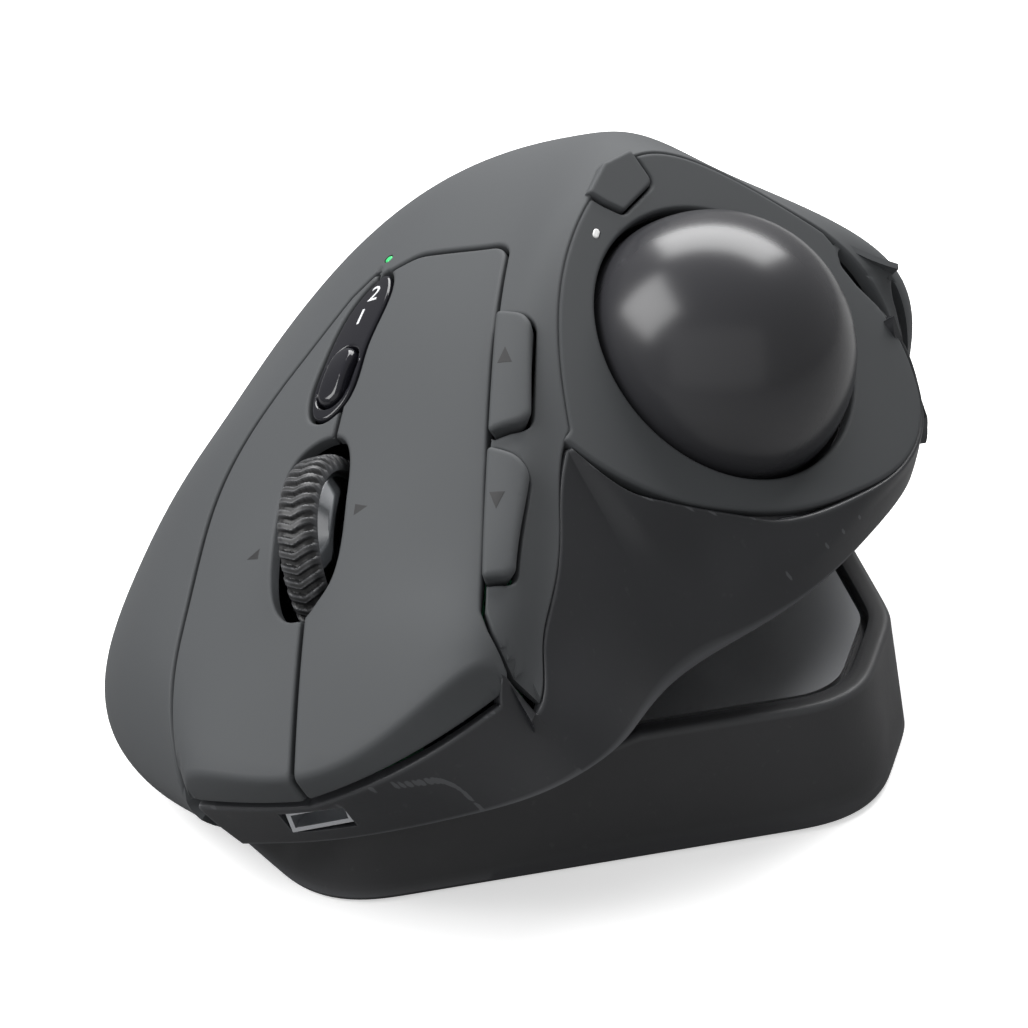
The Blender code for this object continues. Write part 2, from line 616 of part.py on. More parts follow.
def make_deck(shapes, palm):
    deck = prism("ball_deck", ((-60, -60), (60, -60), (60, 60), (-60, 60)), -DECK_THICKNESS, 0,
                 "graphite", cutter=False, matrix=DECK)
    ball_hole = cylinder("ball_hole", BALL_RADIUS + RIM_CLEARANCE, -6, 6, DECK, cutter=True, sides=64)
    pocket = prism("wing_pocket", rounded(WING_POCKET), -WING_POCKET_DEPTH, 8, matrix=DECK)
    lip = deck_block("deck_lip", -DECK_LIP, 90)
    inside = add_object("inside_skirt", shapes["skirt_clear"].data.copy(), cutter=True)
    combine(inside, lip, "UNION")
    keep(deck, inside, shapes["crown_clear"], shapes["skirt"])
    button_hole = prism("precision_hole", grown(rounded(DECK_BUTTON), GAP), -8, 8, matrix=DECK)
    led_at = DECK @ Matrix.Translation((*DECK_LED, 0))
    led_hole = cylinder("ball_led_hole", 0.9, -6, 6, led_at, cutter=True, sides=16)
    cut(deck, ball_hole, button_hole, led_hole, pocket)
    backing_floor = -WING_POCKET_DEPTH - POCKET_WALL
    walls = grown(rounded(WING_POCKET), POCKET_WALL)
    backing = prism("pocket_backing", walls, backing_floor, 8, matrix=DECK)
    keep(backing, shapes["crown"], shapes["skirt"], deck_block("below_deck_plane", -90, 0))
    combine(palm, backing, "UNION")
    cut(palm, button_hole, pocket, led_hole)
    around = grown(rounded(WING_POCKET), POCKET_WALL + 2 * GAP)
    clear = prism("pocket_clear", around, backing_floor - 2 * GAP, 8, matrix=DECK)
    cut(deck, clear)
    key = prism("precision_button", rounded(DECK_BUTTON), -DECK_THICKNESS - 0.8, DECK_BUTTON_PROUD,
                "graphite", cutter=False, matrix=DECK)
    keep(key, shapes["crown"])
    cylinder("ball_led", 0.65, -DECK_THICKNESS, 0.05, led_at, "white", sides=16)
    return clear


def make_lower(shapes, pocket_clear):
    side = add_object("side_shell", shapes["skirt"].data.copy(), "graphite")
    keep(side, shapes["crown_clear"], shapes["above_floor"])
    cut(side, shapes["skirt_in"], shapes["above_side"], pocket_clear)
    cut(side, *(bpy.data.objects[f"{name}_hole"] for name in THUMB_BUTTONS))
    cut(side, lip_wedge("lip_gap", LIP_GAP, -60, 12.2, -40))
    cut(side, box("rear_cut", (-80, SIDE_REAR_Y - 2 * GAP, -8), (80, 90, 90), cutter=True))
    cut(side, box("left_cut", (-80, -46, -8), (-18, 90, 90), cutter=True))
    centre_x, half = WHEEL_CENTRE[0], SOCKET_SIZE[0] / 2
    cut(side, box("socket_way", (centre_x - half - GAP, -70, BOARD_Z - 2 * GAP),
                  (centre_x + half + GAP, -44, BOARD_Z + SOCKET_SIZE[2]), cutter=True))

    floor = crown_like("bottom_shell", "crown_outer", "graphite")
    slab = box("floor_slab", (-90, -90, FLOOR), (90, 90, FLOOR + FLOOR_THICKNESS), cutter=True)
    keep(floor, shapes["crown_clear"], skirt("skirt_floor", SHELL + 3 * GAP), slab)
    eject = cylinder("eject_hole", CUP_EJECT_RADIUS, -8, 12,
                     Matrix.Translation((BALL_CENTRE[0], BALL_CENTRE[1], 0)), cutter=True)
    groove = cylinder("pin_groove", PIN_RADIUS + 2 * GAP, -PIN_LENGTH / 2 - 1, PIN_LENGTH / 2 + 1,
                      frame_along((0, 1, 0), (0, 0, 0)), cutter=True)
    way_centre = (POWER_SWITCH[0], POWER_SWITCH[1] + POWER_SWITCH_TRAVEL / 2)
    way_size = (POWER_SWITCH_SIZE[0] + 2 * GAP, POWER_SWITCH_SIZE[1] + POWER_SWITCH_TRAVEL + 2 * GAP)
    cut(floor, eject, groove, prism("power_switch_way", obround(way_centre, way_size), -8, 8))
    prism("power_switch", obround(POWER_SWITCH, POWER_SWITCH_SIZE), FLOOR + GAP, FLOOR + FLOOR_THICKNESS + 1.2,
          "rubber", cutter=False)
    for name, place in SCREWS.items():
        at = Matrix.Translation((*place, FLOOR))
        head_way = SCREW_HEAD_HEIGHT + GAP
        cut(floor, cylinder(f"{name}_counterbore", SCREW_HEAD_RADIUS + GAP, -2, head_way, at, cutter=True))
        cut(floor, cylinder(f"{name}_shank_hole", SCREW_SHANK_RADIUS + GAP, -2, 8, at, cutter=True))
        screw = cylinder(f"screw_{name}", SCREW_HEAD_RADIUS, 0, SCREW_HEAD_HEIGHT, at, "steel", sides=24)
        shank = cylinder(f"{name}_shank", SCREW_SHANK_RADIUS, 0.1, SCREW_LENGTH, at, cutter=True, sides=16)
        combine(screw, shank, "UNION")
    for name, place in MAGNETS.items():
        at = Matrix.Translation((*place, FLOOR + FLOOR_THICKNESS + GAP))
        cylinder(name, MAGNET_RADIUS, 0, MAGNET_THICKNESS, at, "steel")


def make_ball(shapes):
    sphere("ball", BALL_RADIUS, BALL_CENTRE, "ball", segments=40, rings=20)
    inner = BALL_RADIUS + CUP_CLEARANCE
    outer = inner + CUP_THICKNESS
    cup = sphere("ball_cup", outer, BALL_CENTRE, "graphite")
    hollow = sphere("cup_hollow", inner, BALL_CENTRE, cutter=True)
    above_cup = deck_block("above_cup", -DECK_THICKNESS - GAP, 90)
    cut(cup, hollow, above_cup, bpy.data.objects["eject_hole"])
    normal = Vector(DECK_NORMAL).normalized()
    centre = Vector(BALL_CENTRE)
    ring = BALL_RADIUS + BEARING_GAP + BEARING_RADIUS
    for name, angle in BEARINGS.items():
        swing = Matrix.Rotation(math.radians(angle), 3, normal)
        tip = Matrix.Rotation(math.radians(BEARING_POLAR), 3, DECK.to_3x3() @ Vector((0, 1, 0)))
        way = swing @ tip @ normal
        outwards = frame_along(way, centre)
        cut(cup, cylinder(f"{name}_pocket", BEARING_RADIUS + GAP, ring - 3, ring + 3, outwards, cutter=True, sides=24))
        sphere(name, BEARING_RADIUS, centre + way * ring, "ruby", segments=12, rings=8)
    way = Vector(SENSOR_DIRECTION).normalized()
    outwards = frame_along(way, centre)
    cut(cup, cylinder("sensor_window", WINDOW_RADIUS, inner - 3, outer + 3, outwards, cutter=True))
    side = SENSOR_SIDE / 2
    square = ((-side, -side), (side, -side), (side, side), (-side, side))
    prism("optical_sensor", square, outer + 2 * GAP, outer + 2 * GAP + SENSOR_DEPTH, "gloss",
          cutter=False, matrix=frame_along(way, centre))


def make_wheel():
    x, y, z = WHEEL_CENTRE
    spin = frame_along((1, 0, 0), WHEEL_CENTRE)
    half = WHEEL_WIDTH / 2
    wheel_bottom = z - WHEEL_RADIUS
    tyre = cylinder("wheel_tyre", WHEEL_RADIUS, -half, half, spin, "rubber", sides=56)
    edge = tyre.modifiers.new("rounded_tread", "BEVEL")
    edge.width = 1.0 * MM
    edge.segments = 2
    edge.limit_method = "ANGLE"
    edge.angle_limit = math.radians(60)
    rim = WHEEL_RADIUS - TYRE_DEPTH
    cut(tyre, cylinder("tyre_bore", rim + GAP / 3, -half - 1, half + 1, spin, cutter=True, sides=56))
    hub = cylinder("wheel_hub", rim, -half + 0.3, half - 0.3, spin, "chrome", sides=56)
    cut(hub, cylinder("hub_bore", AXLE_RADIUS + GAP / 3, -half - 1, half + 1, spin, cutter=True, sides=24))
    reach = half + YOKE_GAP + YOKE_WALL + 0.6
    cylinder("wheel_axle", AXLE_RADIUS, -reach, reach, spin, "steel", sides=24)
    low = wheel_bottom - 0.6 - YOKE_FLOOR
    wall = half + YOKE_GAP
    outside = wall + YOKE_WALL
    yoke = box("wheel_yoke", (x - outside, y - 3.5, low), (x + outside, y + 3.5, z + 2.4), "graphite")
    cut(yoke, box("yoke_gap", (x - wall, y - 20, low + YOKE_FLOOR), (x + wall, y + 20, z + 20), cutter=True))
    cut(yoke, cylinder("yoke_bore", AXLE_RADIUS + GAP, -20, 20, spin, cutter=True, sides=24))
    top = low - 2 * GAP
    box("click_plate", (x - 5, y - 8, top - CLICK_PLATE_THICKNESS), (x + 5, y + 8, top), "acetal")


def make_electronics():
    x, y, _ = WHEEL_CENTRE
    board_top = BOARD_Z + BOARD_THICKNESS
    prism("main_board", rounded(BOARD_OUTLINE), BOARD_Z, board_top, "board", cutter=False)
    on_board = board_top + GAP
    for name, place in SWITCHES.items():
        low = Vector((place[0] - SWITCH_SIZE[0] / 2, place[1] - SWITCH_SIZE[1] / 2, on_board))
        box(name, low, low + Vector(SWITCH_SIZE), "gloss", bevel=0.3)
    low = Vector((x - MIDDLE_SWITCH_SIZE[0] / 2, y - MIDDLE_SWITCH_SIZE[1] / 2, on_board))
    box("middle_switch", low, low + Vector(MIDDLE_SWITCH_SIZE), "gloss", bevel=0.3)
    low = Vector((x + 8.2, y - ENCODER_SIZE[1] / 2, on_board))
    box("wheel_encoder", low, low + Vector(ENCODER_SIZE), "gloss", bevel=0.3)
    low = Vector((BATTERY_PLACE[0] - BATTERY_SIZE[0] / 2, BATTERY_PLACE[1] - BATTERY_SIZE[1] / 2, BOARD_Z))
    box("battery", low, low + Vector(BATTERY_SIZE), "foil", bevel=1.0)
    low = Vector((x - SOCKET_SIZE[0] / 2, BOARD_OUTLINE[0][1] - 6.0, BOARD_Z - GAP))
    socket = box("charging_socket", low, low + Vector(SOCKET_SIZE), "steel")
    mouth = Vector((0.5, -1, 0.5))
    far = Vector((SOCKET_SIZE[0] - 0.5, SOCKET_SIZE[1] - 1.2, SOCKET_SIZE[2] - 0.5))
    cut(socket, box("socket_mouth", low + mouth, low + far, cutter=True))


def make_base():
    top = HINGE_Z
    slope = new_empty("slope_frame", (HINGE_X, 0, HINGE_Z))
    slope.rotation_euler = (0, -math.radians(TILT), 0)
    outline = rounded(BASE_OUTLINE, 8)
    base = prism("base_wedge", outline, BASE_FLOOR, top, "rubber", None, False, taper=BASE_DRAFT)
    cut(base, box("slope_cut", (-90, -90, 0), (0, 90, 60), parent=slope, cutter=True))
    upright = Matrix(((1, 0, 0, 0), (0, 0, 1, 0), (0, 1, 0, 0), (0, 0, 0, 1)))
    rim = list(BASE_FRONT_RIM) + [(19, 60), (-45, 60)]
    cut(base, prism("front_rim_cut", rim, -80, BASE_FRONT_DEPTH, parent=None, matrix=upright))
    inner = grown(outline, -BASE_DRAFT - PLATE_INSET)
    sheet = grown(outline, -BASE_DRAFT - PLATE_INSET - 2 * GAP)
    well = prism("plate_well", inner, top - PLATE_RECESS, 60, parent=None)
    keep(well, box("flat_side", (HINGE_X + 3, -90, 0), (90, 90, 90), parent=None, cutter=True))
    cut(base, well)
    plate_top = top - 0.4
    plate = prism("flat_rest_plate", sheet, plate_top - PLATE_THICKNESS, plate_top, "steel", None, False)
    keep(plate, box("flat_plate_side", (HINGE_X + 3.4, -90, 0), (90, 90, 90), parent=None, cutter=True))
    lean_well = prism("lean_well", inner, 0, 60, parent=None)
    lean_front = BASE_FRONT_DEPTH + 3
    keep(lean_well, box("lean_band", (-90, lean_front, -PLATE_RECESS), (-3, 90, 30), parent=slope, cutter=True))
    cut(base, lean_well)
    lean = prism("tilted_rest_plate", sheet, 0, 60, "steel", None, False)
    low, high = (-90, lean_front + 0.4, -0.4 - PLATE_THICKNESS), (-3.4, 90, -0.4)
    keep(lean, box("lean_sheet", low, high, parent=slope, cutter=True))
    pin_frame = frame_along((0, 1, 0), (HINGE_X, 0, HINGE_Z))
    reach = PIN_LENGTH / 2 + GAP
    cut(base, cylinder("pin_seat", PIN_RADIUS + GAP, -reach, reach, pin_frame, parent=None, cutter=True))
    cylinder("hinge_pin", PIN_RADIUS, -PIN_LENGTH / 2, PIN_LENGTH / 2, pin_frame, "steel", None)
    pad = grown(outline, -PAD_INSET)
    cut(base, prism("pad_recess", grown(pad, GAP), -5, PAD_THICKNESS, parent=None))
    prism("foot_pad", pad, 0, PAD_THICKNESS - GAP, "rubber", None, False)


SHAPES = make_shapes()
PALM = make_top(SHAPES)
POCKET_CLEAR = make_deck(SHAPES, PALM)
make_lower(SHAPES, POCKET_CLEAR)
make_ball(SHAPES)
make_wheel()
make_electronics()
make_base()


def mark_joint(name, place, axis, parent=BODY):
    """Empty at a joint, its z along the joint's axis, named for the piece that moves."""
    made = new_empty(name, place, parent)
    made.rotation_mode = "QUATERNION"
    made.rotation_quaternion = Vector(axis).to_track_quat("Z", "Y")


mark_joint("joint_base_tilt", (HINGE_X, 0, HINGE_Z), (0, 1, 0), None)
mark_joint("joint_ball_roll", BALL_CENTRE, DECK.to_3x3() @ Vector((1, 0, 0)))
mark_joint("joint_left_click", (0, LEFT_HINGE[0], LEFT_HINGE[1]), (1, 0, 0))
mark_joint("joint_right_click", (-20, RIGHT_HINGE[0], RIGHT_HINGE[1]), (1, 0, 0))
mark_joint("joint_wheel_spin", WHEEL_CENTRE, (1, 0, 0))
mark_joint("joint_wheel_tilt", (WHEEL_CENTRE[0], WHEEL_CENTRE[1], YOKE_PIVOT_Z), (0, 1, 0))
mark_joint("joint_wheel_click", (WHEEL_CENTRE[0], WHEEL_CENTRE[1], BOARD_Z), (0, 0, -1))
mark_joint("joint_mode_press", (*MODE_BUTTON, LEFT_HINGE[1]), (0, 0, -1))
mark_joint("joint_precision_press", BALL_CENTRE, -Vector(DECK_NORMAL))
mark_joint("joint_power_slide", (*POWER_SWITCH, FLOOR), (0, 1, 0))
for KEY, CORNERS in THUMB_BUTTONS.items():
    mark_joint(f"joint_{KEY}_press", (*CORNERS[0][:2], LEFT_HINGE[1]), (0, 0, -1))
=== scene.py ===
"""Trackball mouse on its wedge base: moulded shells, keys, ball, scroll wheel and studio stage.

Body frame, millimetres: x to the thumb side, -y to the finger end, z up from the body's
flat underside. Every shape is worked out there and leaned on to the base at the end.
"""

import itertools
import math

import bmesh
import bpy
import numpy as np
from bpy.props import FloatProperty, FloatVectorProperty, IntProperty, PointerProperty
from mathutils import Matrix, Vector
from mathutils.geometry import delaunay_2d_cdt


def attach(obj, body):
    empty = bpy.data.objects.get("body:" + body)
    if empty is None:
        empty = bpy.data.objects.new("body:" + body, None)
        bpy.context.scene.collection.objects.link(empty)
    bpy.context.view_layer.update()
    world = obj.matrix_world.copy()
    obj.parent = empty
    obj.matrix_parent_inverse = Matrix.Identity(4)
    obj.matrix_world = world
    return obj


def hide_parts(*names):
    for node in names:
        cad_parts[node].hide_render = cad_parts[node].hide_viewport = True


bl_info = {
    "name": "Trackball Mouse",
    "version": (1, 0, 0),
    "blender": (4, 5, 0),
    "location": "3D View > Sidebar > Trackball",
    "description": "Builds the shells, keys, ball, wheel and stage of a thumb trackball mouse",
    "category": "Object",
}

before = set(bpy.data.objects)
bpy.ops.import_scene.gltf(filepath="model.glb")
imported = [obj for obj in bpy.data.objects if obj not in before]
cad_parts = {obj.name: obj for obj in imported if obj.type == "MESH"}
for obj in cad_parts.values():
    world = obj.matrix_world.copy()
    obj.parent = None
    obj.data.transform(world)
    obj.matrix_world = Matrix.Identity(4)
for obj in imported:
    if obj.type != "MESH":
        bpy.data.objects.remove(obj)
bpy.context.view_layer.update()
MM = 0.001

# Lean of the body on its base
TILT = math.radians(20.0)
HINGE_X, HINGE_Z = 2.0, 15.5
LEAN = np.array(((math.cos(TILT), 0, -math.sin(TILT)), (0, 1, 0), (math.sin(TILT), 0, math.cos(TILT))))
HINGE = np.array((HINGE_X, 0, HINGE_Z))

# Upper body: (x, z) of each rail at each station along y, little-finger foot to thumb foot
STATIONS_Y = (-60, -50, -40, -30, -20, -8, 5, 18, 26, 33, 46, 57, 64, 67)
RAILS = {
    "foot": ((-12, -3), (-17, -3), (-29, -3), (-37, -3), (-41, -3), (-43, -3), (-43.5, -3),
             (-42.5, -3), (-41, -3), (-38.5, -3), (-31.5, -3), (-22, -3), (-11, -3), (-3, -3)),
    "wing": ((-22, 2), (-29.5, 6.4), (-38.8, 6.6), (-46.5, 8.4), (-49, 11.4), (-48, 13), (-46.3, 13),
             (-44.6, 12), (-43, 11.4), (-41, 10.8), (-34, 9), (-24.5, 7), (-12, 4), (-4, 0)),
    "shoulder_right": ((-24, 6.5), (-29, 11), (-34.5, 15), (-38.8, 19), (-40.5, 22.5), (-41, 25),
                       (-40, 25.9), (-38, 27), (-36.4, 26.8), (-34.6, 26), (-29, 21), (-20, 14),
                       (-10, 7), (-4, 1.5)),
    "mid_right": ((-24, 8.5), (-28, 13.6), (-30, 18.5), (-30.3, 23), (-29.5, 28), (-28.5, 33),
                  (-28, 35.2), (-27, 36.8), (-26, 36.9), (-24.6, 35.4), (-21, 30), (-14.5, 20.5),
                  (-7, 10), (-3, 2.5)),
    "centre": ((-12, 9.5), (-12, 16.5), (-12.5, 22.5), (-12.5, 27.5), (-11, 32), (-9.5, 38),
               (-8, 43.3), (-6, 46.8), (-5, 47), (-3.5, 45), (-1, 38.5), (1, 26.5), (2, 13.5),
               (2, 4)),
    "inner": ((6, 9), (9.3, 15.8), (9.6, 21.8), (9.8, 28), (9.7, 34.3), (9.4, 40.8), (9, 45.4),
              (10, 48.6), (11, 48.4), (12, 45.4), (13.5, 37), (13.5, 26), (11.5, 13), (9, 4)),
    "ridge": ((9.6, 4.5), (11.0, 9.6), (12.9, 19.2), (13.2, 27), (13.4, 33.4), (13.2, 41),
              (14.2, 46.4), (17.4, 48.8), (19, 47.3), (20, 42.6), (20.6, 33.5), (19.5, 24.5), (16, 12),
              (12, 4)),
    "edge": ((11.6, 1.5), (12.8, 6.0), (15.3, 13.4), (16, 22), (17, 30.2), (17.2, 39.8), (18.8, 46.2),
             (23.2, 47.2), (26.6, 41.5), (27, 36.6), (27.5, 26.5), (25, 19.5), (20, 9.5), (14.5, 3.5)),
    "flank": ((24, 3), (26, 8), (29, 13), (33, 18), (38, 22), (44, 26), (48, 29),
              (46, 28.5), (40.6, 25.4), (43.2, 19.9), (36.5, 14.5), (30.5, 11), (23, 5.5), (16.5, 2)),
    "thumb_foot": ((30, -3), (32, -3), (35, -3), (41, -3), (47, -3), (52, -3), (54, -3),
                   (53, -3), (42, -3), (34.5, -3), (33, -3), (30, -3), (24.5, -3), (17.5, -3)),
}

# Outlines of the lower body at rising heights, from the finger end round the thumb side.
SKIRT_LEVELS = (-1.0, 6.0, 12.0, 20.0, 30.0, 46.0)
SKIRT = (
    ((-25, -48.5), (-12, -51.5), (3, -51.5), (12, -50), (17, -46), (19.7, -41), (20.7, -35.5),
     (22.5, -28.5), (26.5, -22.5), (32.5, -16), (37, -8), (40, 2), (41.5, 12), (40.5, 22), (36.5, 31)),
    ((-27.5, -51), (-12, -55), (2, -53.8), (10, -50), (15, -45.5), (17.6, -40.5), (19.2, -35),
     (21.2, -28.8), (25, -23.2), (31.5, -16), (37, -7.6), (41.2, 1), (44.4, 8), (45.6, 14), (39, 32)),
    ((-28.5, -52.5), (-12, -57.5), (0, -55.3), (6.8, -51.5), (11.6, -47), (14.8, -41), (17.3, -34.5),
     (19.8, -28.5), (23.5, -22.5), (31.8, -12.2), (38, -3.5), (43.5, 6), (46.4, 14), (45.4, 20), (41, 33)),
    ((-28.5, -52.5), (-12, -57.5), (0, -55.3), (6.8, -51.5), (10.6, -47), (13.4, -40), (16, -32.5),
     (18.2, -26), (20.6, -22), (24.2, -18.8), (32, -9.5), (40, 1), (46.5, 13), (43.6, 23), (43.8, 34)),
    ((-28.5, -52.5), (-12, -57.5), (0, -55.3), (6.5, -51.5), (9.5, -47), (12, -38.5), (14.3, -30),
     (16.2, -23), (17.6, -20), (23, -14), (33, -4), (42, 6), (46.5, 16), (45, 25), (45.5, 35)),
    ((-28.5, -52.5), (-12, -57.5), (0, -55.3), (6.5, -51.5), (9.5, -47), (12, -38.5), (14.3, -30),
     (16.2, -23), (18.5, -19), (26, -11), (36, 0), (44, 9), (49, 20), (49, 29), (49, 36)),
)

FLOOR = 0.4
WHEEL_CENTRE = np.array((-13.1, -24.5, 22.0))
WHEEL_RADIUS = 12.0
WHEEL_WIDTH = 4.8
HUB_WIDTH = 4.2
LIP_CENTRE_Z = 7.4
LIP_RISE = 0.2
LIP_RISE_FINGER_SIDE = 0.05
LIP_GAP = 1.0

# Front end of the palm shell, and the corner of the front wall that it stops at
PALM_FRONT_Y = -50.2
WALL_FRONT_X = -28.8
WALL_FRONT_Y = -38.0

# Outlines in plan; a third number rounds that corner
THUMB_SEAM = ((11.9, -45.8), (10.7, -44.3), (9.9, -42.6), (9.5, -30), (9.15, -12), (8.9, 3.4, 3.2),
              (-4, 7.2, 6), (-9.8, 6.4))
FINGER_SEAM = ((-29.6, -49.5), (-30.5, -44), (-30.9, -38), (-30.6, -32), (-29.9, -24), (-28.6, -17),
               (-25.6, -10.2), (-21.5, -4), (-13.6, 5.6), (-9.8, 8.0))
FINGER_SEAM_CURVED = 8
BUTTON_ENDS = (-29.3, 12.1)
SEAM_LINE = ((-12.2, -75), (-12.4, -40), (-12.4, -20), (-11, -8), (-9.8, 8.5))
SLOT = ((-12.1, -39.9), (-11, -38.7), (-9.8, -37.1), (-9.0, -34.8), (-8.7, -31.6), (-8.9, -26.2),
        (-9.3, -20.8), (-10.0, -18.2), (-11.2, -16.7), (-12.8, -16.2), (-14.8, -16.4), (-16.5, -17.3),
        (-17.7, -18.9), (-18.3, -21.6), (-18.4, -25.4), (-18.1, -29.5), (-17.3, -34.7), (-15.9, -38.3),
        (-14.2, -39.9))
STRIP = ((-8.2, 7.6, 0.6), (-7.6, 3), (-9.3, -5), (-10.6, -11.4, 2), (-13.6, -14.2, 2.4), (-16.2, -12, 2),
         (-15.6, -5), (-12.6, 3))
MODE_BUTTON = ((-12.9, -7.6), (3.4, 7.6), -14.0)
STATUS_LED = (-8.9, 9.4)
KEYS = {
    "forward_button": ((9.7, -23.4, 0.5), (13.9, -22, 2.2), (13.9, -9.9, 2.2), (9.7, -8.4, 0.5)),
    "back_button": ((9.7, -39.6, 0.5), (12.7, -38.6, 1.6), (13.9, -26.3, 2.2), (9.7, -24.8, 0.5)),
}

# Deck: its plane lies above the ball's centre; outlines are in that plane, across and up the slope
BALL_CENTRE = np.array((27.3, 5.5, 25.0))
BALL_RADIUS = 17.0
BALL_CLEARANCE = 0.6
DECK_NORMAL = np.array((0.802, -0.346, 0.487)) / np.linalg.norm((0.802, -0.346, 0.487))
DECK_UP = np.array((0, 1, 0)) - DECK_NORMAL * DECK_NORMAL[1]
DECK_UP = DECK_UP / np.linalg.norm(DECK_UP)
DECK_ACROSS = np.cross(DECK_UP, DECK_NORMAL)
DECK_ORIGIN = BALL_CENTRE + 3.4 * DECK_NORMAL
DECK_BUTTON = ((-23.6, 3.2), (-21.1, 3.8), (-18.8, 4.7, 0.8), (-18.1, 11.3, 1.2), (-22.6, 12.9), (-24.2, 8.4))
DECK_LED = (-19.9, -0.6)
DECK_RIM = ((-9.5, -27.5), (-5.6, -27.2), (-1.7, -26.4), (5.7, -23.3), (12.2, -18.5), (18.3, -12.2),
            (23.2, -3.7), (25.6, 2.6), (25.8, 8.4), (24.1, 12.8), (21, 16.3), (17.3, 19), (13.5, 20.6),
            (9.0, 22.6))
DECK_RIM_WING = (13.5, 20.6)
SIDE_BELOW_DECK = 0.18
POCKET_DEPTH = 5.0
POCKET_LIP = ((14.4, 20.5), (9.2, 20.9), (6.8, 21.5), (5.2, 22.8), (5.0, 23.7), (8.4, 25.6), (12.4, 27.7))
WING_POCKET = ((4.4, 23.6), (6.4, 21.7, 0.6), (9.2, 21), (14.5, 20.6), (18, 22), (13.4, 27.4), (8, 26.4))

BASE_DRAFT = 2.2
WELL_DEPTH = 1.6

# Way through the front wall for the charging socket: two opposite corners
SOCKET_WAY = ((-17.3, -70, 2.3), (-8.9, -44, 5.7))

BASE_OUTLINE = ((-12.5, -50, 9), (44.4, -14.4, 15), (44, 8, 14), (27, 42, 14), (-18, 44, 18), (-36, 20, 16),
                (-36, -29.5, 5))

# Hub's face and rim: how far each ring stands past the hub's half width, and its radius
HUB_FACE = ((1.1, 0.01), (1.12, 3.0), (1.1, 6.4), (1.05, 7.3), (0.92, 7.75), (0.7, 8.15), (-0.1, 9.3),
            (-0.25, 9.6), (-0.5, 9.75), (-0.9, 9.8))

# Colours of the fine detail, and the ball's flecks: cells to the metre, reach in a cell, share left out
# Paler colour of convex edges: partly rubbed plastic, partly a painted highlight.
WORN_EDGE_AND_HIGHLIGHT = (0.33, 0.34, 0.36)
DUST = (0.5, 0.5, 0.5)
MICA = (0.75, 0.77, 0.8)
COPPER = (0.5, 0.42, 0.2)
FLECKS = ((380.0, 0.22, 0.5), (760.0, 0.3, 0.5))

# Stage, in metres: softboxes as name, place, width, height and power, then the camera
SOFTBOXES = (
    ("rear_softbox", (-0.05, 0.45, 0.55), 0.75, 0.4, 7.0),
    ("top_left_softbox", (-0.55, -0.25, 0.6), 0.6, 0.5, 6.0),
    ("front_fill", (0.25, -0.8, 0.35), 1.4, 0.9, 1.4),
)
SKY_STRENGTH = 0.32
FLOOR_REACH = 4.0
LIGHT_FOCUS = (0.0, -0.01, 0.03)
CAMERA_TARGET = (0, -0.013, 0.034)
CAMERA_AZIMUTH, CAMERA_RISE = math.radians(15), math.radians(28)
CAMERA_DISTANCE = 0.51
CAMERA_SENSOR = 36.0
CAMERA_VIEW_WIDTH = 0.119535

# The crown's own across-coordinate runs up to SPAN; behind its last station the tail drops
# to TAIL_DEPTH under the body's origin over TAIL_LENGTH
SPAN = 153.0
TAIL_ROWS = 14
TAIL_DEPTH = 3.0
TAIL_LENGTH = 7.0

# Sampling
AROUND, ALONG = 560, 520
RASTER = 0.25
ROLL_ROWS = (0.0, 0.04, 0.11, 0.2, 0.31, 0.44, 0.62)
CREASE_ROWS = (0.0, 0.16, -0.16, 0.34, -0.34, 0.56, -0.56)
BORDER_STEP = 0.5
ON_BORDER = 2e-3
LATTICE_MARGIN = 0.75
ROW_MARGIN = 0.97
CREASE_MARGIN = 0.08
RIM_FADE = 0.05
BASE_WALL_ROWS = 8
BOX_FACES = ((0, 1, 3, 2), (4, 6, 7, 5), (0, 4, 5, 1), (2, 3, 7, 6), (0, 2, 6, 4), (1, 5, 7, 3))


def spline(knots, values, at):
    """Natural cubic through values at knots, read at every place in at."""
    knots = np.asarray(knots, float)
    values = np.asarray(values, float).reshape(len(knots), -1)
    step = np.diff(knots)
    count = len(knots)
    inner = np.arange(1, count - 1)
    matrix = np.eye(count)
    matrix[inner, inner - 1] = step[:-1]
    matrix[inner, inner] = 2 * (step[:-1] + step[1:])
    matrix[inner, inner + 1] = step[1:]
    right = np.zeros_like(values)
    slope = np.diff(values, axis=0) / step[:, None]
    right[1:-1] = 6 * np.diff(slope, axis=0)
    bend = np.linalg.solve(matrix, right)
    i = np.clip(np.searchsorted(knots, at, side="right") - 1, 0, count - 2)
    h = step[i][:, None]
    a = (knots[i + 1] - at)[:, None] / h
    b = 1 - a
    return a * values[i] + b * values[i + 1] + ((a**3 - a) * bend[i] + (b**3 - b) * bend[i + 1]) * h**2 / 6


def running_length(points):
    """Length along a polyline at each of its points."""
    return np.concatenate(([0.0], np.cumsum(np.linalg.norm(np.diff(points, axis=0), axis=1))))


def chord_knots(points):
    """Running sum of chord lengths to the power 0.7, the spacing that keeps a spline calm."""
    lengths = np.linalg.norm(np.diff(points, axis=0), axis=1)
    return np.concatenate(([0.0], np.cumsum(np.maximum(lengths, 1e-6) ** 0.7)))


def read_grid(table, row, column):
    """Bilinear value of a table at fractional rows and columns."""
    row = np.clip(row, 0, table.shape[0] - 1.001)
    column = np.clip(column, 0, table.shape[1] - 1.001)
    i, j = row.astype(int), column.astype(int)
    f, g = row - i, column - j
    if table.ndim == 3:
        f, g = f[:, None], g[:, None]
    top = table[i, j] * (1 - g) + table[i, j + 1] * g
    low = table[i + 1, j] * (1 - g) + table[i + 1, j + 1] * g
    return top * (1 - f) + low * f


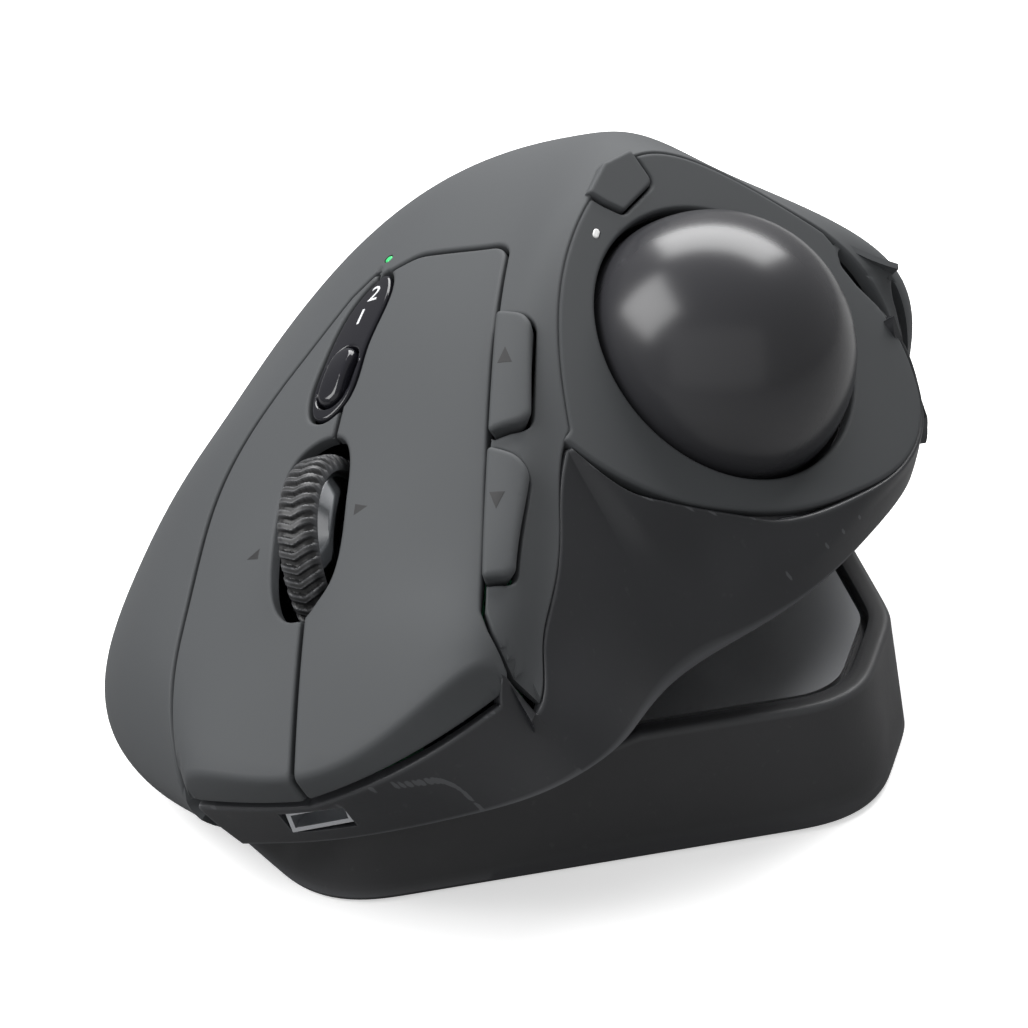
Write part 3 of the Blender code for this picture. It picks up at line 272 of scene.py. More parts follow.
class Crown:
    """Upper surface: rails splined along the body, then splined across at every row.

    Its own coordinates are (a, s): a runs across from the little-finger foot, s is the
    distance along the middle of the back.
    """

    def __init__(self):
        u = np.linspace(0, len(STATIONS_Y) - 1, ALONG)
        knots = np.arange(len(STATIONS_Y))
        y = spline(knots, STATIONS_Y, u)[:, 0]
        rails = np.stack([spline(knots, RAILS[name], u) for name in RAILS], axis=1)
        grid = np.empty((ALONG, AROUND, 3))
        for row in range(ALONG):
            across = chord_knots(rails[row])
            at = np.linspace(0, across[-1], AROUND)
            grid[row, :, ::2] = spline(across, rails[row], at)
            grid[row, :, 1] = y[row]
        tail = np.repeat(grid[-1:], TAIL_ROWS, axis=0)
        down = np.linspace(0, 1, TAIL_ROWS + 1)[1:, None]
        tail[:, :, 2] = tail[:, :, 2] * (1 - down) - TAIL_DEPTH * down
        middle = grid[:, AROUND // 2]
        length = running_length(middle)
        self.end_s = length[-1]
        extra = self.end_s + np.linspace(0, TAIL_LENGTH, TAIL_ROWS + 1)[1:]
        self.y_rows = y
        self.s_rows = np.concatenate((length, extra))
        self.top = grid
        self.grid = np.concatenate((grid, tail))
        along, around = np.gradient(self.grid, axis=0), np.gradient(self.grid, axis=1)
        normal = np.cross(around, along)
        normal /= np.maximum(np.linalg.norm(normal, axis=2, keepdims=True), 1e-9)
        self.normals = normal
        self.xs = np.arange(-52, 58, RASTER)
        self.ys = np.arange(-60, 67, RASTER)
        self._rasters()

    def _rasters(self):
        """Height and across-coordinate on a plan raster, for the part above the wing."""
        heights = np.empty((ALONG, len(self.xs)))
        across = np.empty_like(heights)
        ids = np.arange(AROUND)
        for row in range(ALONG):
            first = int(np.argmin(self.top[row, : AROUND // 2, 0]))
            line = np.maximum.accumulate(self.top[row, first:, 0])
            heights[row] = np.interp(self.xs, line, self.top[row, first:, 2])
            across[row] = np.interp(self.xs, line, ids[first:])
        at = np.interp(self.ys, self.y_rows, np.arange(ALONG))
        columns = np.arange(len(self.xs), dtype=float)
        rows, columns = np.meshgrid(at, columns, indexing="ij")
        shape = rows.shape
        self.height_raster = read_grid(heights, rows.ravel(), columns.ravel()).reshape(shape)
        self.across_raster = read_grid(across, rows.ravel(), columns.ravel()).reshape(shape)

    def _raster(self, table, xy):
        return read_grid(table, (xy[:, 1] - self.ys[0]) / RASTER, (xy[:, 0] - self.xs[0]) / RASTER)

    def height(self, xy):
        return self._raster(self.height_raster, xy)

    def own(self, xy):
        """Own coordinates (a, s) of plan places."""
        a = self._raster(self.across_raster, xy) * SPAN / (AROUND - 1)
        rows = np.interp(xy[:, 1], self.y_rows, np.arange(ALONG))
        return np.stack((a, np.interp(rows, np.arange(ALONG), self.s_rows[:ALONG])), axis=1)

    def _read(self, table, own):
        rows = np.interp(own[:, 1], self.s_rows, np.arange(len(self.s_rows)))
        return read_grid(table, rows, own[:, 0] * (AROUND - 1) / SPAN)

    def point(self, own):
        return self._read(self.grid, own)

    def normal(self, own):
        found = self._read(self.normals, own)
        return found / np.linalg.norm(found, axis=1, keepdims=True)


class Skirt:
    """Lower body: an outline at each level, splined up through the levels."""

    def __init__(self, around=700):
        loops = []
        for outline in SKIRT:
            points = np.array(outline, float)
            at = chord_knots(points)
            loops.append(spline(at, points, np.linspace(0, at[-1], around)))
        self.zs = np.linspace(-1, 46, 236)
        levels = np.array(loops).reshape(len(SKIRT_LEVELS), -1)
        self.table = spline(SKIRT_LEVELS, levels, self.zs).reshape(len(self.zs), around, 2)
        self.around = around
        # Front edge as y over x, and thumb side as x over y, at each level
        self.front_x = np.arange(-30, 13.6, 0.25)
        self.thumb_y = np.arange(-50, 32, 0.25)
        front, thumb = [], []
        for row in self.table:
            last = int(np.argmax(row[:, 0] > 13.5))
            front.append(np.interp(self.front_x, row[:last, 0], row[:last, 1]))
            low = int(np.argmax((row[:, 0] > 3) & (row[:, 1] > -50.0)))
            rise = np.maximum.accumulate(row[low:, 1])
            thumb.append(np.interp(self.thumb_y, rise, row[low:, 0]))
        self.front = np.array(front)
        self.thumb = np.array(thumb)

    def row_of(self, z):
        return (np.asarray(z, float) - self.zs[0]) / (self.zs[1] - self.zs[0])

    def point(self, w, z):
        """Place on the skirt at w, from 0 to 1 round the body, and height z."""
        plan = read_grid(self.table, self.row_of(z), np.asarray(w, float) * (self.around - 1))
        return np.column_stack((plan, z))

    def front_y(self, x, z):
        return read_grid(self.front, self.row_of(z), (x + 30) / 0.25)

    def thumb_x(self, y, z):
        return read_grid(self.thumb, self.row_of(z), (y + 50) / 0.25)


CROWN = Crown()
SKIRT_WALL = Skirt()


def bisect(test, low, high, steps=30):
    """Places between low and high where test turns from negative to positive, all at once."""
    for _ in range(steps):
        middle = (low + high) / 2
        over = test(middle) > 0
        high = np.where(over, middle, high)
        low = np.where(over, low, middle)
    return (low + high) / 2


def deck_place(across, up, rise=0.0):
    """Body-frame point from deck coordinates."""
    across, up, rise = (np.asarray(v, float)[..., None] for v in (across, up, rise))
    return DECK_ORIGIN + across * DECK_ACROSS + up * DECK_UP + rise * DECK_NORMAL


def deck_coordinates(points):
    """Deck coordinates (across, up, rise) of body-frame points."""
    away = points - DECK_ORIGIN
    return np.stack((away @ DECK_ACROSS, away @ DECK_UP, away @ DECK_NORMAL), axis=1)


def rounded(outline, steps=8):
    """Outline with each corner that names a radius replaced by an arc that touches both sides."""
    points = []
    for i, corner in enumerate(outline):
        here = Vector(corner[:2])
        if len(corner) < 3:
            points.append(here)
            continue
        before = (Vector(outline[i - 1][:2]) - here).normalized()
        after = (Vector(outline[(i + 1) % len(outline)][:2]) - here).normalized()
        half = before.angle(after) / 2
        centre = here + (before + after).normalized() * corner[2] / math.sin(half)
        start = here + before * corner[2] / math.tan(half) - centre
        end = here + after * corner[2] / math.tan(half) - centre
        turn = start.angle_signed(end)
        points += [centre + Matrix.Rotation(-turn * k / steps, 2) @ start for k in range(steps + 1)]
    return np.array([tuple(p) for p in points])


def dense(outline, step=BORDER_STEP, closed=True):
    """Outline with its sides divided into steps of about the given length."""
    points = np.asarray(outline, float)
    ends = np.roll(points, -1, axis=0) if closed else points[1:]
    starts = points if closed else points[:-1]
    pieces = []
    for start, end in zip(starts, ends):
        count = max(1, int(round(np.linalg.norm(end - start) / step)))
        pieces.append(start + (end - start) * np.arange(count)[:, None] / count)
    if not closed:
        pieces.append(points[-1:])
    return np.concatenate(pieces)


def smooth_loop(points, step=BORDER_STEP):
    """Closed cubic through the points, by arc length."""
    points = np.asarray(points, float)
    wide = np.concatenate((points[-4:], points, points[:5]))
    at = running_length(wide)
    start, end = at[4], at[4 + len(points)]
    count = max(12, int((end - start) / step))
    return spline(at, wide, np.linspace(start, end, count, endpoint=False))


def unit(vectors):
    """Vectors of length one, along the last axis."""
    return vectors / np.maximum(np.linalg.norm(vectors, axis=-1, keepdims=True), 1e-9)


def side_normals(points, closed=True):
    """Unit normals to the left of a polyline, in its own plane."""
    if closed:
        ahead = np.roll(points, -1, axis=0) - np.roll(points, 1, axis=0)
    else:
        ahead = np.gradient(points, axis=0)
    ahead = unit(ahead)
    return np.stack((-ahead[:, 1], ahead[:, 0]), axis=1)


def grown(outline, by):
    """Closed outline moved outwards by the given distance."""
    points = np.asarray(outline, float)
    x, y = points[:, 0], points[:, 1]
    turn = 1 if np.sum(x * np.roll(y, -1) - np.roll(x, -1) * y) > 0 else -1
    edge = unit(np.roll(points, -1, axis=0) - points)
    side = np.stack((edge[:, 1], -edge[:, 0]), axis=1) * turn
    both = side + np.roll(side, 1, axis=0)
    return points + both * 2 * by / np.maximum(np.sum(both * both, axis=1, keepdims=True), 0.4)


def inside(points, loop):
    """Even-odd test of many points against one closed loop."""
    found = np.zeros(len(points), bool)
    x0, y0 = loop[:, 0], loop[:, 1]
    x1, y1 = np.roll(x0, -1), np.roll(y0, -1)
    rise = np.where(np.abs(y1 - y0) < 1e-12, 1e-12, y1 - y0)
    for k in range(0, len(points), 4000):
        x, y = points[k: k + 4000, :1], points[k: k + 4000, 1:]
        crosses = (y0 > y) != (y1 > y)
        found[k: k + 4000] = (crosses & (x < x0 + (y - y0) * (x1 - x0) / rise)).sum(axis=1) % 2 == 1
    return found


def distance_to(points, line, closed=True):
    """Distance of many points from a polyline."""
    start = line if closed else line[:-1]
    along = (np.roll(line, -1, axis=0) if closed else line[1:]) - start
    square = np.maximum(np.sum(along * along, axis=1), 1e-12)
    found = np.empty(len(points))
    for k in range(0, len(points), 4000):
        away = points[k: k + 4000, None] - start
        t = np.clip(np.sum(away * along, axis=2) / square, 0, 1)
        found[k: k + 4000] = np.sqrt(np.min(np.sum((away - t[:, :, None] * along) ** 2, axis=2), axis=1))
    return found


def roll_drop(distance, radius):
    """Drop of a rounded edge: a quarter circle that leaves the surface at radius from the border."""
    short = np.clip(radius - distance, 0, radius)
    return radius - np.sqrt(np.maximum(radius**2 - short**2, 0))


def sheet(surface, outer, holes, soft, creases, radius, depth, spacing):
    """Skin with rounded borders and a wall: points of a lattice and of rows beside the borders.

    Positions are surface.point minus the normal times the rounded drop; the inner skin lies
    depth below. outer, holes, soft and creases are polylines in the surface's own coordinates:
    the borders that soft names are the ones that round.
    """
    borders = [np.asarray(line, float) for line in (outer, *holes)]
    low, high = borders[0].min(axis=0), borders[0].max(axis=0)
    steps = [np.arange(low[axis], high[axis], spacing) for axis in (0, 1)]
    lattice = np.stack(np.meshgrid(*steps), axis=2)
    lattice[1::2, :, 0] += spacing / 2
    lattice = lattice.reshape(-1, 2)

    def kept(points):
        result = inside(points, borders[0])
        for hole in borders[1:]:
            result &= ~inside(points, hole)
        return result

    lattice = lattice[kept(lattice)]
    for line in (*borders, *creases):
        lattice = lattice[distance_to(lattice, line) > LATTICE_MARGIN * spacing]
    points = list(borders)
    for line in borders:
        both = side_normals(line)
        for row in ROLL_ROWS[1:]:
            for side in (-1, 1):
                moved = line + side * row * both
                moved = moved[kept(moved)]
                for other in borders:
                    moved = moved[distance_to(moved, other) > ROW_MARGIN * row]
                points.append(moved)
    for line in creases:
        for row in CREASE_ROWS:
            moved = line + row * side_normals(line, False)
            moved = moved[kept(moved)]
            for other in borders:
                moved = moved[distance_to(moved, other) > CREASE_MARGIN]
            points.append(moved)
    points.append(lattice)
    flat = np.concatenate(points)
    edges, start = [], 0
    for line in borders:
        count = len(line)
        ids = start + np.arange(count)
        edges += list(zip(ids.tolist(), np.roll(ids, -1).tolist()))
        start += count
    placed, _, faces, _, _, _ = delaunay_2d_cdt([Vector(p) for p in flat], edges, [], 0, 1e-5, False)
    placed = np.array([tuple(p) for p in placed])
    faces = np.array([f for f in faces if len(f) == 3])
    faces = faces[kept(placed[faces].mean(axis=1))]
    used, faces = np.unique(faces, return_inverse=True)
    faces = faces.reshape(-1, 3)
    placed = placed[used]
    drop = np.zeros(len(placed))
    for line in soft:
        gap = distance_to(placed, np.asarray(line, float))
        gap[gap < ON_BORDER] = 0.0
        drop = np.maximum(drop, roll_drop(gap, radius))
    skin = surface.point(placed)
    normal = surface.normal(placed)
    top = skin - normal * drop[:, None]
    return walled(top, skin - normal * depth, faces, normal)


def walled(top, bottom, faces, normal):
    """Closed shell from an outer skin, its inner copy and a wall round every open edge."""
    corner = top[faces]
    across = np.cross(corner[:, 1] - corner[:, 0], corner[:, 2] - corner[:, 0])
    flip = np.sum(across * normal[faces[:, 0]], axis=1) < 0
    faces = np.where(flip[:, None], faces[:, ::-1], faces)
    ends = np.concatenate((faces[:, [0, 1]], faces[:, [1, 2]], faces[:, [2, 0]]))
    key = np.sort(ends, axis=1)
    _, first, count = np.unique(key, axis=0, return_index=True, return_counts=True)
    rim = ends[first[count == 1]]
    size = len(top)
    wall = np.column_stack((rim[:, 1], rim[:, 0], rim[:, 0] + size, rim[:, 1] + size))
    return np.concatenate((top, bottom)), [faces, faces[:, ::-1] + size, wall]


def ribbon(points, closed_rows=False, closed_columns=False):
    """Faces of a grid of points shaped (rows, columns, 3)."""
    rows, columns = points.shape[:2]
    ids = np.arange(rows * columns).reshape(rows, columns)
    if closed_rows:
        ids = np.vstack((ids, ids[:1]))
    if closed_columns:
        ids = np.hstack((ids, ids[:, :1]))
    quads = np.stack((ids[:-1, :-1], ids[:-1, 1:], ids[1:, 1:], ids[1:, :-1]), axis=2).reshape(-1, 4)
    return points.reshape(-1, 3), [quads]


def halved(quads):
    """Each quad as two triangles."""
    return np.concatenate((quads[:, :3], quads[:, [0, 2, 3]]))


def to_world(points):
    """Body-frame millimetres as world metres."""
    return (points @ LEAN.T + HINGE) * MM


def mesh_piece(name, shapes, world=False, sharp=40.0, weld=2e-3):
    """One mesh from (points, face lists), doubles merged, faces turned outwards."""
    mesh = bpy.data.meshes.new(name)
    points, faces, start = [], [], 0
    for shape_points, face_lists in shapes:
        points.append(shape_points)
        for block in face_lists:
            faces += (np.asarray(block) + start).tolist()
        start += len(shape_points)
    points = np.concatenate(points)
    mesh.from_pydata((points * MM if world else to_world(points)), [], faces)
    work = bmesh.new()
    work.from_mesh(mesh)
    bmesh.ops.remove_doubles(work, verts=work.verts, dist=weld * MM)
    bmesh.ops.recalc_face_normals(work, faces=work.faces)
    work.to_mesh(mesh)
    work.free()
    mesh.shade_smooth()
    mesh.set_sharp_from_angle(angle=math.radians(sharp))
    piece = bpy.data.objects.new(name, mesh)
    bpy.context.scene.collection.objects.link(piece)
    return piece


def settle(piece, body, material, slot, *nodes):
    """Puts a finished piece on its body, in place of the CAD nodes it stands for."""
    piece.data.materials.append(bpy.data.materials[material])
    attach(piece, body)
    if nodes:
        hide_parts(*nodes)
    return piece


def lip_height(x):
    """Height of the finger buttons' lower front edge."""
    away = x - WHEEL_CENTRE[0]
    return LIP_CENTRE_Z + LIP_RISE * np.maximum(0.0, away) + LIP_RISE_FINGER_SIDE * np.maximum(0.0, -away)


class FingerTop:
    """Crown that folds down over the front edge.

    A place in plan behind the crease lies on the crown. A place in front of it lies on the
    front wall, as far below the crease as it is in front of it. Within ROUND of the crease
    a quadratic curve joins the two.
    """

    ROUND = 0.8

    def __init__(self):
        self.x = SKIRT_WALL.front_x
        def above(z):
            return z - CROWN.height(np.stack((self.x, SKIRT_WALL.front_y(self.x, z)), axis=1))
        self.z = bisect(above, np.full_like(self.x, 2.0), np.full_like(self.x, 28.0))
        self.y = SKIRT_WALL.front_y(self.x, self.z)

    def crease(self, x):
        return np.interp(x, self.x, self.y), np.interp(x, self.x, self.z)

    def lip(self, x):
        """Plan line that folds on to the lip."""
        y, z = self.crease(x)
        wanted = lip_height(x)
        def above(at):
            return CROWN.height(np.stack((x, at), axis=1)) - wanted
        on_top = bisect(above, y, y + 12)
        return np.where(z > wanted, y - (z - wanted), on_top)

    def _raw(self, x, y):
        crease, height = self.crease(x)
        low = height - (crease - y)
        front = y < crease
        z = np.where(front, low, CROWN.height(np.stack((x, y), axis=1)))
        return np.stack((x, np.where(front, SKIRT_WALL.front_y(x, low), y), z), axis=1)

    def point(self, q):
        x, y = q[:, 0], q[:, 1]
        crease, _ = self.crease(x)
        t = ((crease - y) / self.ROUND + 1) / 2
        near = (t > 0) & (t < 1)
        t = t[:, None]
        corner = self._raw(x, crease)
        before, after = self._raw(x, crease + self.ROUND), self._raw(x, crease - self.ROUND)
        curve = (1 - (1 - t) ** 2 - t**2) * corner + (1 - t) ** 2 * before + t**2 * after
        return np.where(near[:, None], curve, self._raw(x, y))

    def normal(self, q):
        step = 0.06
        dx, dy = np.array((step, 0)), np.array((0, step))
        found = np.cross(self.point(q + dx) - self.point(q - dx), self.point(q + dy) - self.point(q - dy))
        return unit(found)


class RaisedCrown:
    """Crown read by plan place and moved out by a lift, domed by a bulge round a centre."""

    def __init__(self, lift=0.0, bulge=0.0, centre=(0, 0), reach=5.0):
        self.lift, self.bulge, self.centre, self.reach = lift, bulge, np.array(centre, float), reach

    def normal(self, q):
        return CROWN.normal(CROWN.own(q))

    def point(self, q):
        away = np.sum(((q - self.centre) / self.reach) ** 2, axis=1)
        lift = self.lift + self.bulge * np.maximum(0, 1 - away)
        base = np.column_stack((q, CROWN.height(q)))
        return base + self.normal(q) * lift[:, None]


class DeckPlane:
    """Flat plane above the ball's centre, moved along its normal by a rise."""

    def __init__(self, rise=0.0):
        self.rise = rise

    def point(self, q):
        return deck_place(q[:, 0], q[:, 1], np.full(len(q), self.rise))

    def normal(self, q):
        return np.tile(DECK_NORMAL, (len(q), 1))


FINGER_TOP = FingerTop()


def seam_x(y, side, gap):
    """Centre seam's x at y, moved half the gap to one side."""
    line = np.array(SEAM_LINE)
    return np.interp(y, line[:, 1], line[:, 0]) + side * gap / 2


def turned(points, degrees):
    """Plan points turned anticlockwise about the origin."""
    c, s = math.cos(math.radians(degrees)), math.sin(math.radians(degrees))
    return points @ np.array(((c, s), (-s, c)))


def obround(centre, size, turn=0.0, steps=14):
    """Rounded slot outline, its length along y before the turn."""
    radius, reach = size[0] / 2, size[1] / 2 - size[0] / 2
    angle = np.linspace(0, math.pi, steps + 1)
    arc = radius * np.stack((np.cos(angle), np.sin(angle)), axis=1)
    points = np.concatenate((arc + (0, reach), -arc - (0, reach)))
    return turned(points, turn) + centre


def strip_outline(by):
    """Mode strip's outline moved outwards by the given distance."""
    return dense(grown(smooth_loop(rounded(STRIP, 4)[::2], 0.5), by), 0.4)


def slot_outline(by):
    """Wheel slot's outline moved outwards by the given distance."""
    return dense(grown(smooth_loop(SLOT), by))


def thumb_seam(by):
    """Plan line of the left button's outer and rear edge, moved to its left by the given distance."""
    line = dense(rounded(THUMB_SEAM), BORDER_STEP, False)
    return line + side_normals(line, False) * by


def finger_seam(by):
    """Plan line of the right button's outer and rear edge, moved to its left by the given distance."""
    points = np.array(FINGER_SEAM)
    at = chord_knots(points[:FINGER_SEAM_CURVED])
    curve = spline(at, points[:FINGER_SEAM_CURVED], np.linspace(0, at[-1], 60))
    line = dense(np.concatenate((curve, points[FINGER_SEAM_CURVED:])), BORDER_STEP, False)
    return line + side_normals(line, False) * by


def button_sheet(name, gap, radius, depth):
    """One finger button: lip line, outer side, rear edge and centre seam as one outline."""
    thumb = name == "left_button"
    side = 1 if thumb else -1
    if thumb:
        lip_x = np.arange(seam_x(-60, 1, gap), BUTTON_ENDS[1] - gap / 2, 0.4)
        open_side = thumb_seam(gap / 2)
    else:
        lip_x = np.arange(seam_x(-60, -1, gap), BUTTON_ENDS[0] + gap / 2, -0.4)
        open_side = finger_seam(-gap / 2)
    seam_y = np.arange(8.0, FINGER_TOP.lip(np.array([seam_x(-60, side, gap)]))[0], -BORDER_STEP)
    seam = np.stack((seam_x(seam_y, side, gap), seam_y), axis=1)
    front = np.stack((lip_x, FINGER_TOP.lip(lip_x)), axis=1)
    open_side = open_side[open_side[:, 1] > front[-1, 1] + 0.3]
    outer = np.concatenate((front, open_side, seam[:-1]))
    crease_x = np.arange(front[:, 0].min(), front[:, 0].max(), 0.45)
    crease = np.stack((crease_x, FINGER_TOP.crease(crease_x)[0]), axis=1)
    slot, strip = slot_outline(0.1), strip_outline(gap / 2)
    return sheet(FINGER_TOP, outer, (slot, strip), (outer, slot, strip), (crease,), radius, depth, 0.85)


def thumb_border():
    """Own coordinates along the palm shell's thumb edge: the first of the deck plane and the skirt."""
    rows = np.arange(ALONG)[(CROWN.y_rows > -45.6) & (CROWN.y_rows < 30.6)]
    ids = np.arange(AROUND)
    half = AROUND // 2
    found, kinds = [], []
    for row in rows:
        line = CROWN.top[row]
        over_deck = (line - DECK_ORIGIN) @ DECK_NORMAL
        y = np.full(AROUND, line[0, 1])
        over_skirt = line[:, 0] - SKIRT_WALL.thumb_x(y, line[:, 2])
        over = np.maximum(over_deck, over_skirt)
        crossing = np.nonzero((over[half:-1] <= 0) & (over[half + 1:] > 0))[0]
        if not len(crossing):
            break
        i = half + int(crossing[0])
        f = over[i] / (over[i] - over[i + 1])
        found.append(((ids[i] + f) * SPAN / (AROUND - 1), CROWN.s_rows[row]))
        kinds.append(over_deck[i + 1] > over_skirt[i + 1])
    return np.array(found), np.array(kinds)


THUMB_EDGE, ON_DECK = thumb_border()


def foot_lines():
    """Own coordinates where the crown comes down to the floor: finger side, tail, thumb side."""
    rows = np.arange(0, ALONG, 2)
    rows = rows[CROWN.y_rows[rows] > PALM_FRONT_Y - 0.2]
    ids = np.arange(AROUND)
    scale = SPAN / (AROUND - 1)
    finger, thumb = [], []
    for row in rows:
        x, _, z = CROWN.top[row].T
        high = np.nonzero((z > FLOOR) & ((CROWN.y_rows[row] > WALL_FRONT_Y) | (x < WALL_FRONT_X)))[0]
        i, j = high[0], high[-1]
        near = slice(max(i - 1, 0), i + 1)
        low = np.interp(FLOOR, z[near], ids[near]) if z[i] < 1.5 else float(i)
        far = np.interp(-FLOOR, -z[j: j + 2], ids[j: j + 2])
        finger.append((low * scale, CROWN.s_rows[row]))
        thumb.append((far * scale, CROWN.s_rows[row]))
    z = CROWN.top[-1, :, 2]
    columns = np.nonzero(z > FLOOR)[0][2:-2:4]
    fall = (z[columns] - FLOOR) / (z[columns] + TAIL_DEPTH)
    tail = np.stack((columns * scale, CROWN.end_s + TAIL_LENGTH * fall), axis=1)
    return np.array(finger), tail, np.array(thumb)


def palm_sheet(gap, radius, depth):
    """Palm shell in the crown's own coordinates: a horseshoe round the finger buttons."""
    finger, tail, thumb = foot_lines()
    front_s = CROWN.own(np.array(((-30.0, PALM_FRONT_Y),)))[0, 1]
    finger = finger[finger[:, 1] > front_s]
    rear_s = THUMB_EDGE[-1, 1]
    thumb = thumb[thumb[:, 1] > rear_s][::-1]
    hole = CROWN.own(np.concatenate((thumb_seam(-gap / 2), finger_seam(gap / 2)[::-1])))
    start = np.array(((finger[0, 0], front_s),))
    side_a = CROWN.own(np.array(((-30.2, PALM_FRONT_Y),)))
    front = dense(np.concatenate((side_a, start)), BORDER_STEP, False)
    edge = dense(THUMB_EDGE[::-1], BORDER_STEP, False)
    jump = dense(np.array((thumb[-1], THUMB_EDGE[-1])), BORDER_STEP, False)
    feet = [dense(line, 0.8, False) for line in (finger[1:], tail, thumb)]
    outer = np.concatenate((front, *feet, jump[1:-1], edge, hole))
    holes = [CROWN.own(strip_outline(gap / 2))]
    keys = [CROWN.own(dense(grown(rounded(corners), 0.35), 0.4)) for corners in KEYS.values()]
    led = CROWN.own(obround(STATUS_LED, (1.25, 1.25)))
    soft = (there_and_back(hole), edge, *holes, *keys)
    return sheet(CROWN, outer, (*holes, *keys, led), soft, (), radius, depth, 1.0)


def there_and_back(line):
    """An open line as a closed one, run there and back."""
    return np.concatenate((line, line[::-1]))


def thin_pad(surface, outline, radius, depth, spacing=0.6):
    """Skin with no holes, rounded all round."""
    return sheet(surface, outline, (), (outline,), (), radius, depth, spacing)


def deck_rim(rise=0.0):
    """Round the body: (w, height) where the skirt meets the deck plane or a parallel one."""
    w = np.linspace(0.36, 1.0, 420)
    def above(z):
        return (SKIRT_WALL.point(w, z) - DECK_ORIGIN) @ DECK_NORMAL - rise
    return w, bisect(above, np.full_like(w, 1.0), np.full_like(w, 45.0))


def rim_curve(share):
    """Deck coordinates along the rim's smooth outline, by share of its length."""
    points = np.array(DECK_RIM)
    at = running_length(points)
    return spline(at / at[-1], points, np.asarray(share, float))


def deck_outline():
    """Deck coordinates of the crown crease, then of the rim back to the front corner."""
    inner = deck_coordinates(CROWN.point(THUMB_EDGE[ON_DECK]))[:, :2]
    rim = rim_curve(np.linspace(0.0, 1.0, 200))
    return dense(grown(np.concatenate((inner, rim[:0:-1])), -0.12), 0.5)


def eased(share):
    """Share from 0 to 1 with level ends."""
    return share * share * (3 - 2 * share)


def rim_shift(w):
    """How far the skirt moves at the deck plane so that its rim follows the smooth outline."""
    at, z = deck_rim()
    place = SKIRT_WALL.point(at, z)
    flat = deck_coordinates(place)[:, :2]
    first = int(np.argmin(np.linalg.norm(flat - DECK_RIM[0], axis=1)))
    last = int(np.argmin(np.linalg.norm(flat - DECK_RIM_WING, axis=1)))
    length = running_length(flat[first:last])
    whole = rim_curve(np.linspace(0, 1, 400))
    end = np.argmin(np.linalg.norm(whole - DECK_RIM_WING, axis=1)) / (len(whole) - 1)
    wanted = rim_curve(length / length[-1] * end)
    moved = deck_place(wanted[:, 0], wanted[:, 1]) - place[first:last]
    moved = np.stack([np.interp(w, at[first:last], moved[:, k]) for k in range(3)], axis=1)
    lead = np.clip((w - at[first] + RIM_FADE) / RIM_FADE, 0, 1)[:, None]
    trail = np.clip((at[last - 1] + RIM_FADE - w) / RIM_FADE, 0, 1)[:, None]
    return moved * eased(lead) * eased(trail), np.interp(w, at, z)


def side_top(w):
    """Height of the side shell's top edge: under the lip, the crown's crease or the deck."""
    def above(z):
        return z - CROWN.height(SKIRT_WALL.point(w, z)[:, :2])

    def below_deck(by):
        """Height at which the skirt meets the plane that far below the deck."""
        return bisect(lambda z: (SKIRT_WALL.point(w, z) - DECK_ORIGIN) @ DECK_NORMAL + by,
                      np.full_like(w, 1.0), np.full_like(w, 45.0))

    crown = bisect(above, np.full_like(w, 2.0), np.full_like(w, 45.0))
    deck = below_deck(SIDE_BELOW_DECK)
    across, up, _ = deck_coordinates(SKIRT_WALL.point(w, deck)).T
    deck = np.where((up > DECK_RIM_WING[1]) & (across > 5), below_deck(POCKET_DEPTH), deck)
    top = np.minimum(crown - 0.25, deck)
    x = SKIRT_WALL.point(w, np.full_like(w, 9.0))[:, 0]
    front = np.clip((12.6 - x) / 1.4, 0, 1)
    lip = np.where(w < 0.5, lip_height(x) - LIP_GAP, 99.0)
    return np.where(front > 0, np.minimum(top, lip + (1 - front) * 2.5), top)


def side_sheet(radius, depth):
    """Side shell: heights run from the floor to the top edge at every w round the skirt."""
    w = np.linspace(0.0, 1.0, 900)
    y = SKIRT_WALL.point(w, np.full_like(w, 8.0))[:, 1]
    w = w[(y < 30.4) | (w < 0.5)]
    top = side_top(w)
    near = np.array(ROLL_ROWS + (0.95, 1.4))
    t = np.linspace(0, 1, 30)[1:]
    z = np.concatenate((top[None] - near[:, None], (top - 1.4)[None] * (1 - t[:, None]) + FLOOR * t[:, None]))
    drop = np.concatenate((roll_drop(near, radius), np.zeros(len(t))))
    shape = z.shape
    skin = SKIRT_WALL.point(np.broadcast_to(w, shape).ravel(), z.ravel()).reshape(*shape, 3)
    shift, full = rim_shift(w)
    rise = np.clip((z - 3.0) / (full - 3.0), 0, 1)
    skin = skin + shift[None] * eased(rise)[:, :, None]
    normal = unit(np.cross(np.gradient(skin, axis=0), np.gradient(skin, axis=1)))
    outwards = np.sign(np.sum(normal[shape[0] // 2, shape[1] // 2] * np.array((0.7, -0.7, 0))))
    normal = (normal * outwards).reshape(-1, 3)
    faces = halved(ribbon(skin)[1][0])
    flat = skin.reshape(-1, 3)
    drop = np.repeat(drop, shape[1])[:, None]
    return walled(flat - normal * drop, flat - normal * depth, faces, normal)


def cut_through(piece, low, high):
    """Takes the box between two body-frame corners out of a piece."""
    corners = np.array(list(itertools.product(*zip(low, high))), float)
    mesh = bpy.data.meshes.new("opening")
    mesh.from_pydata(to_world(corners), [], BOX_FACES)
    cutter = bpy.data.objects.new("opening", mesh)
    bpy.context.scene.collection.objects.link(cutter)
    step = piece.modifiers.new("opening", "BOOLEAN")
    step.object, step.operation, step.solver = cutter, "DIFFERENCE", "EXACT"
    opened = bpy.data.meshes.new_from_object(piece.evaluated_get(bpy.context.evaluated_depsgraph_get()))
    piece.modifiers.clear()
    piece.data = opened
    bpy.data.objects.remove(cutter, do_unlink=True)


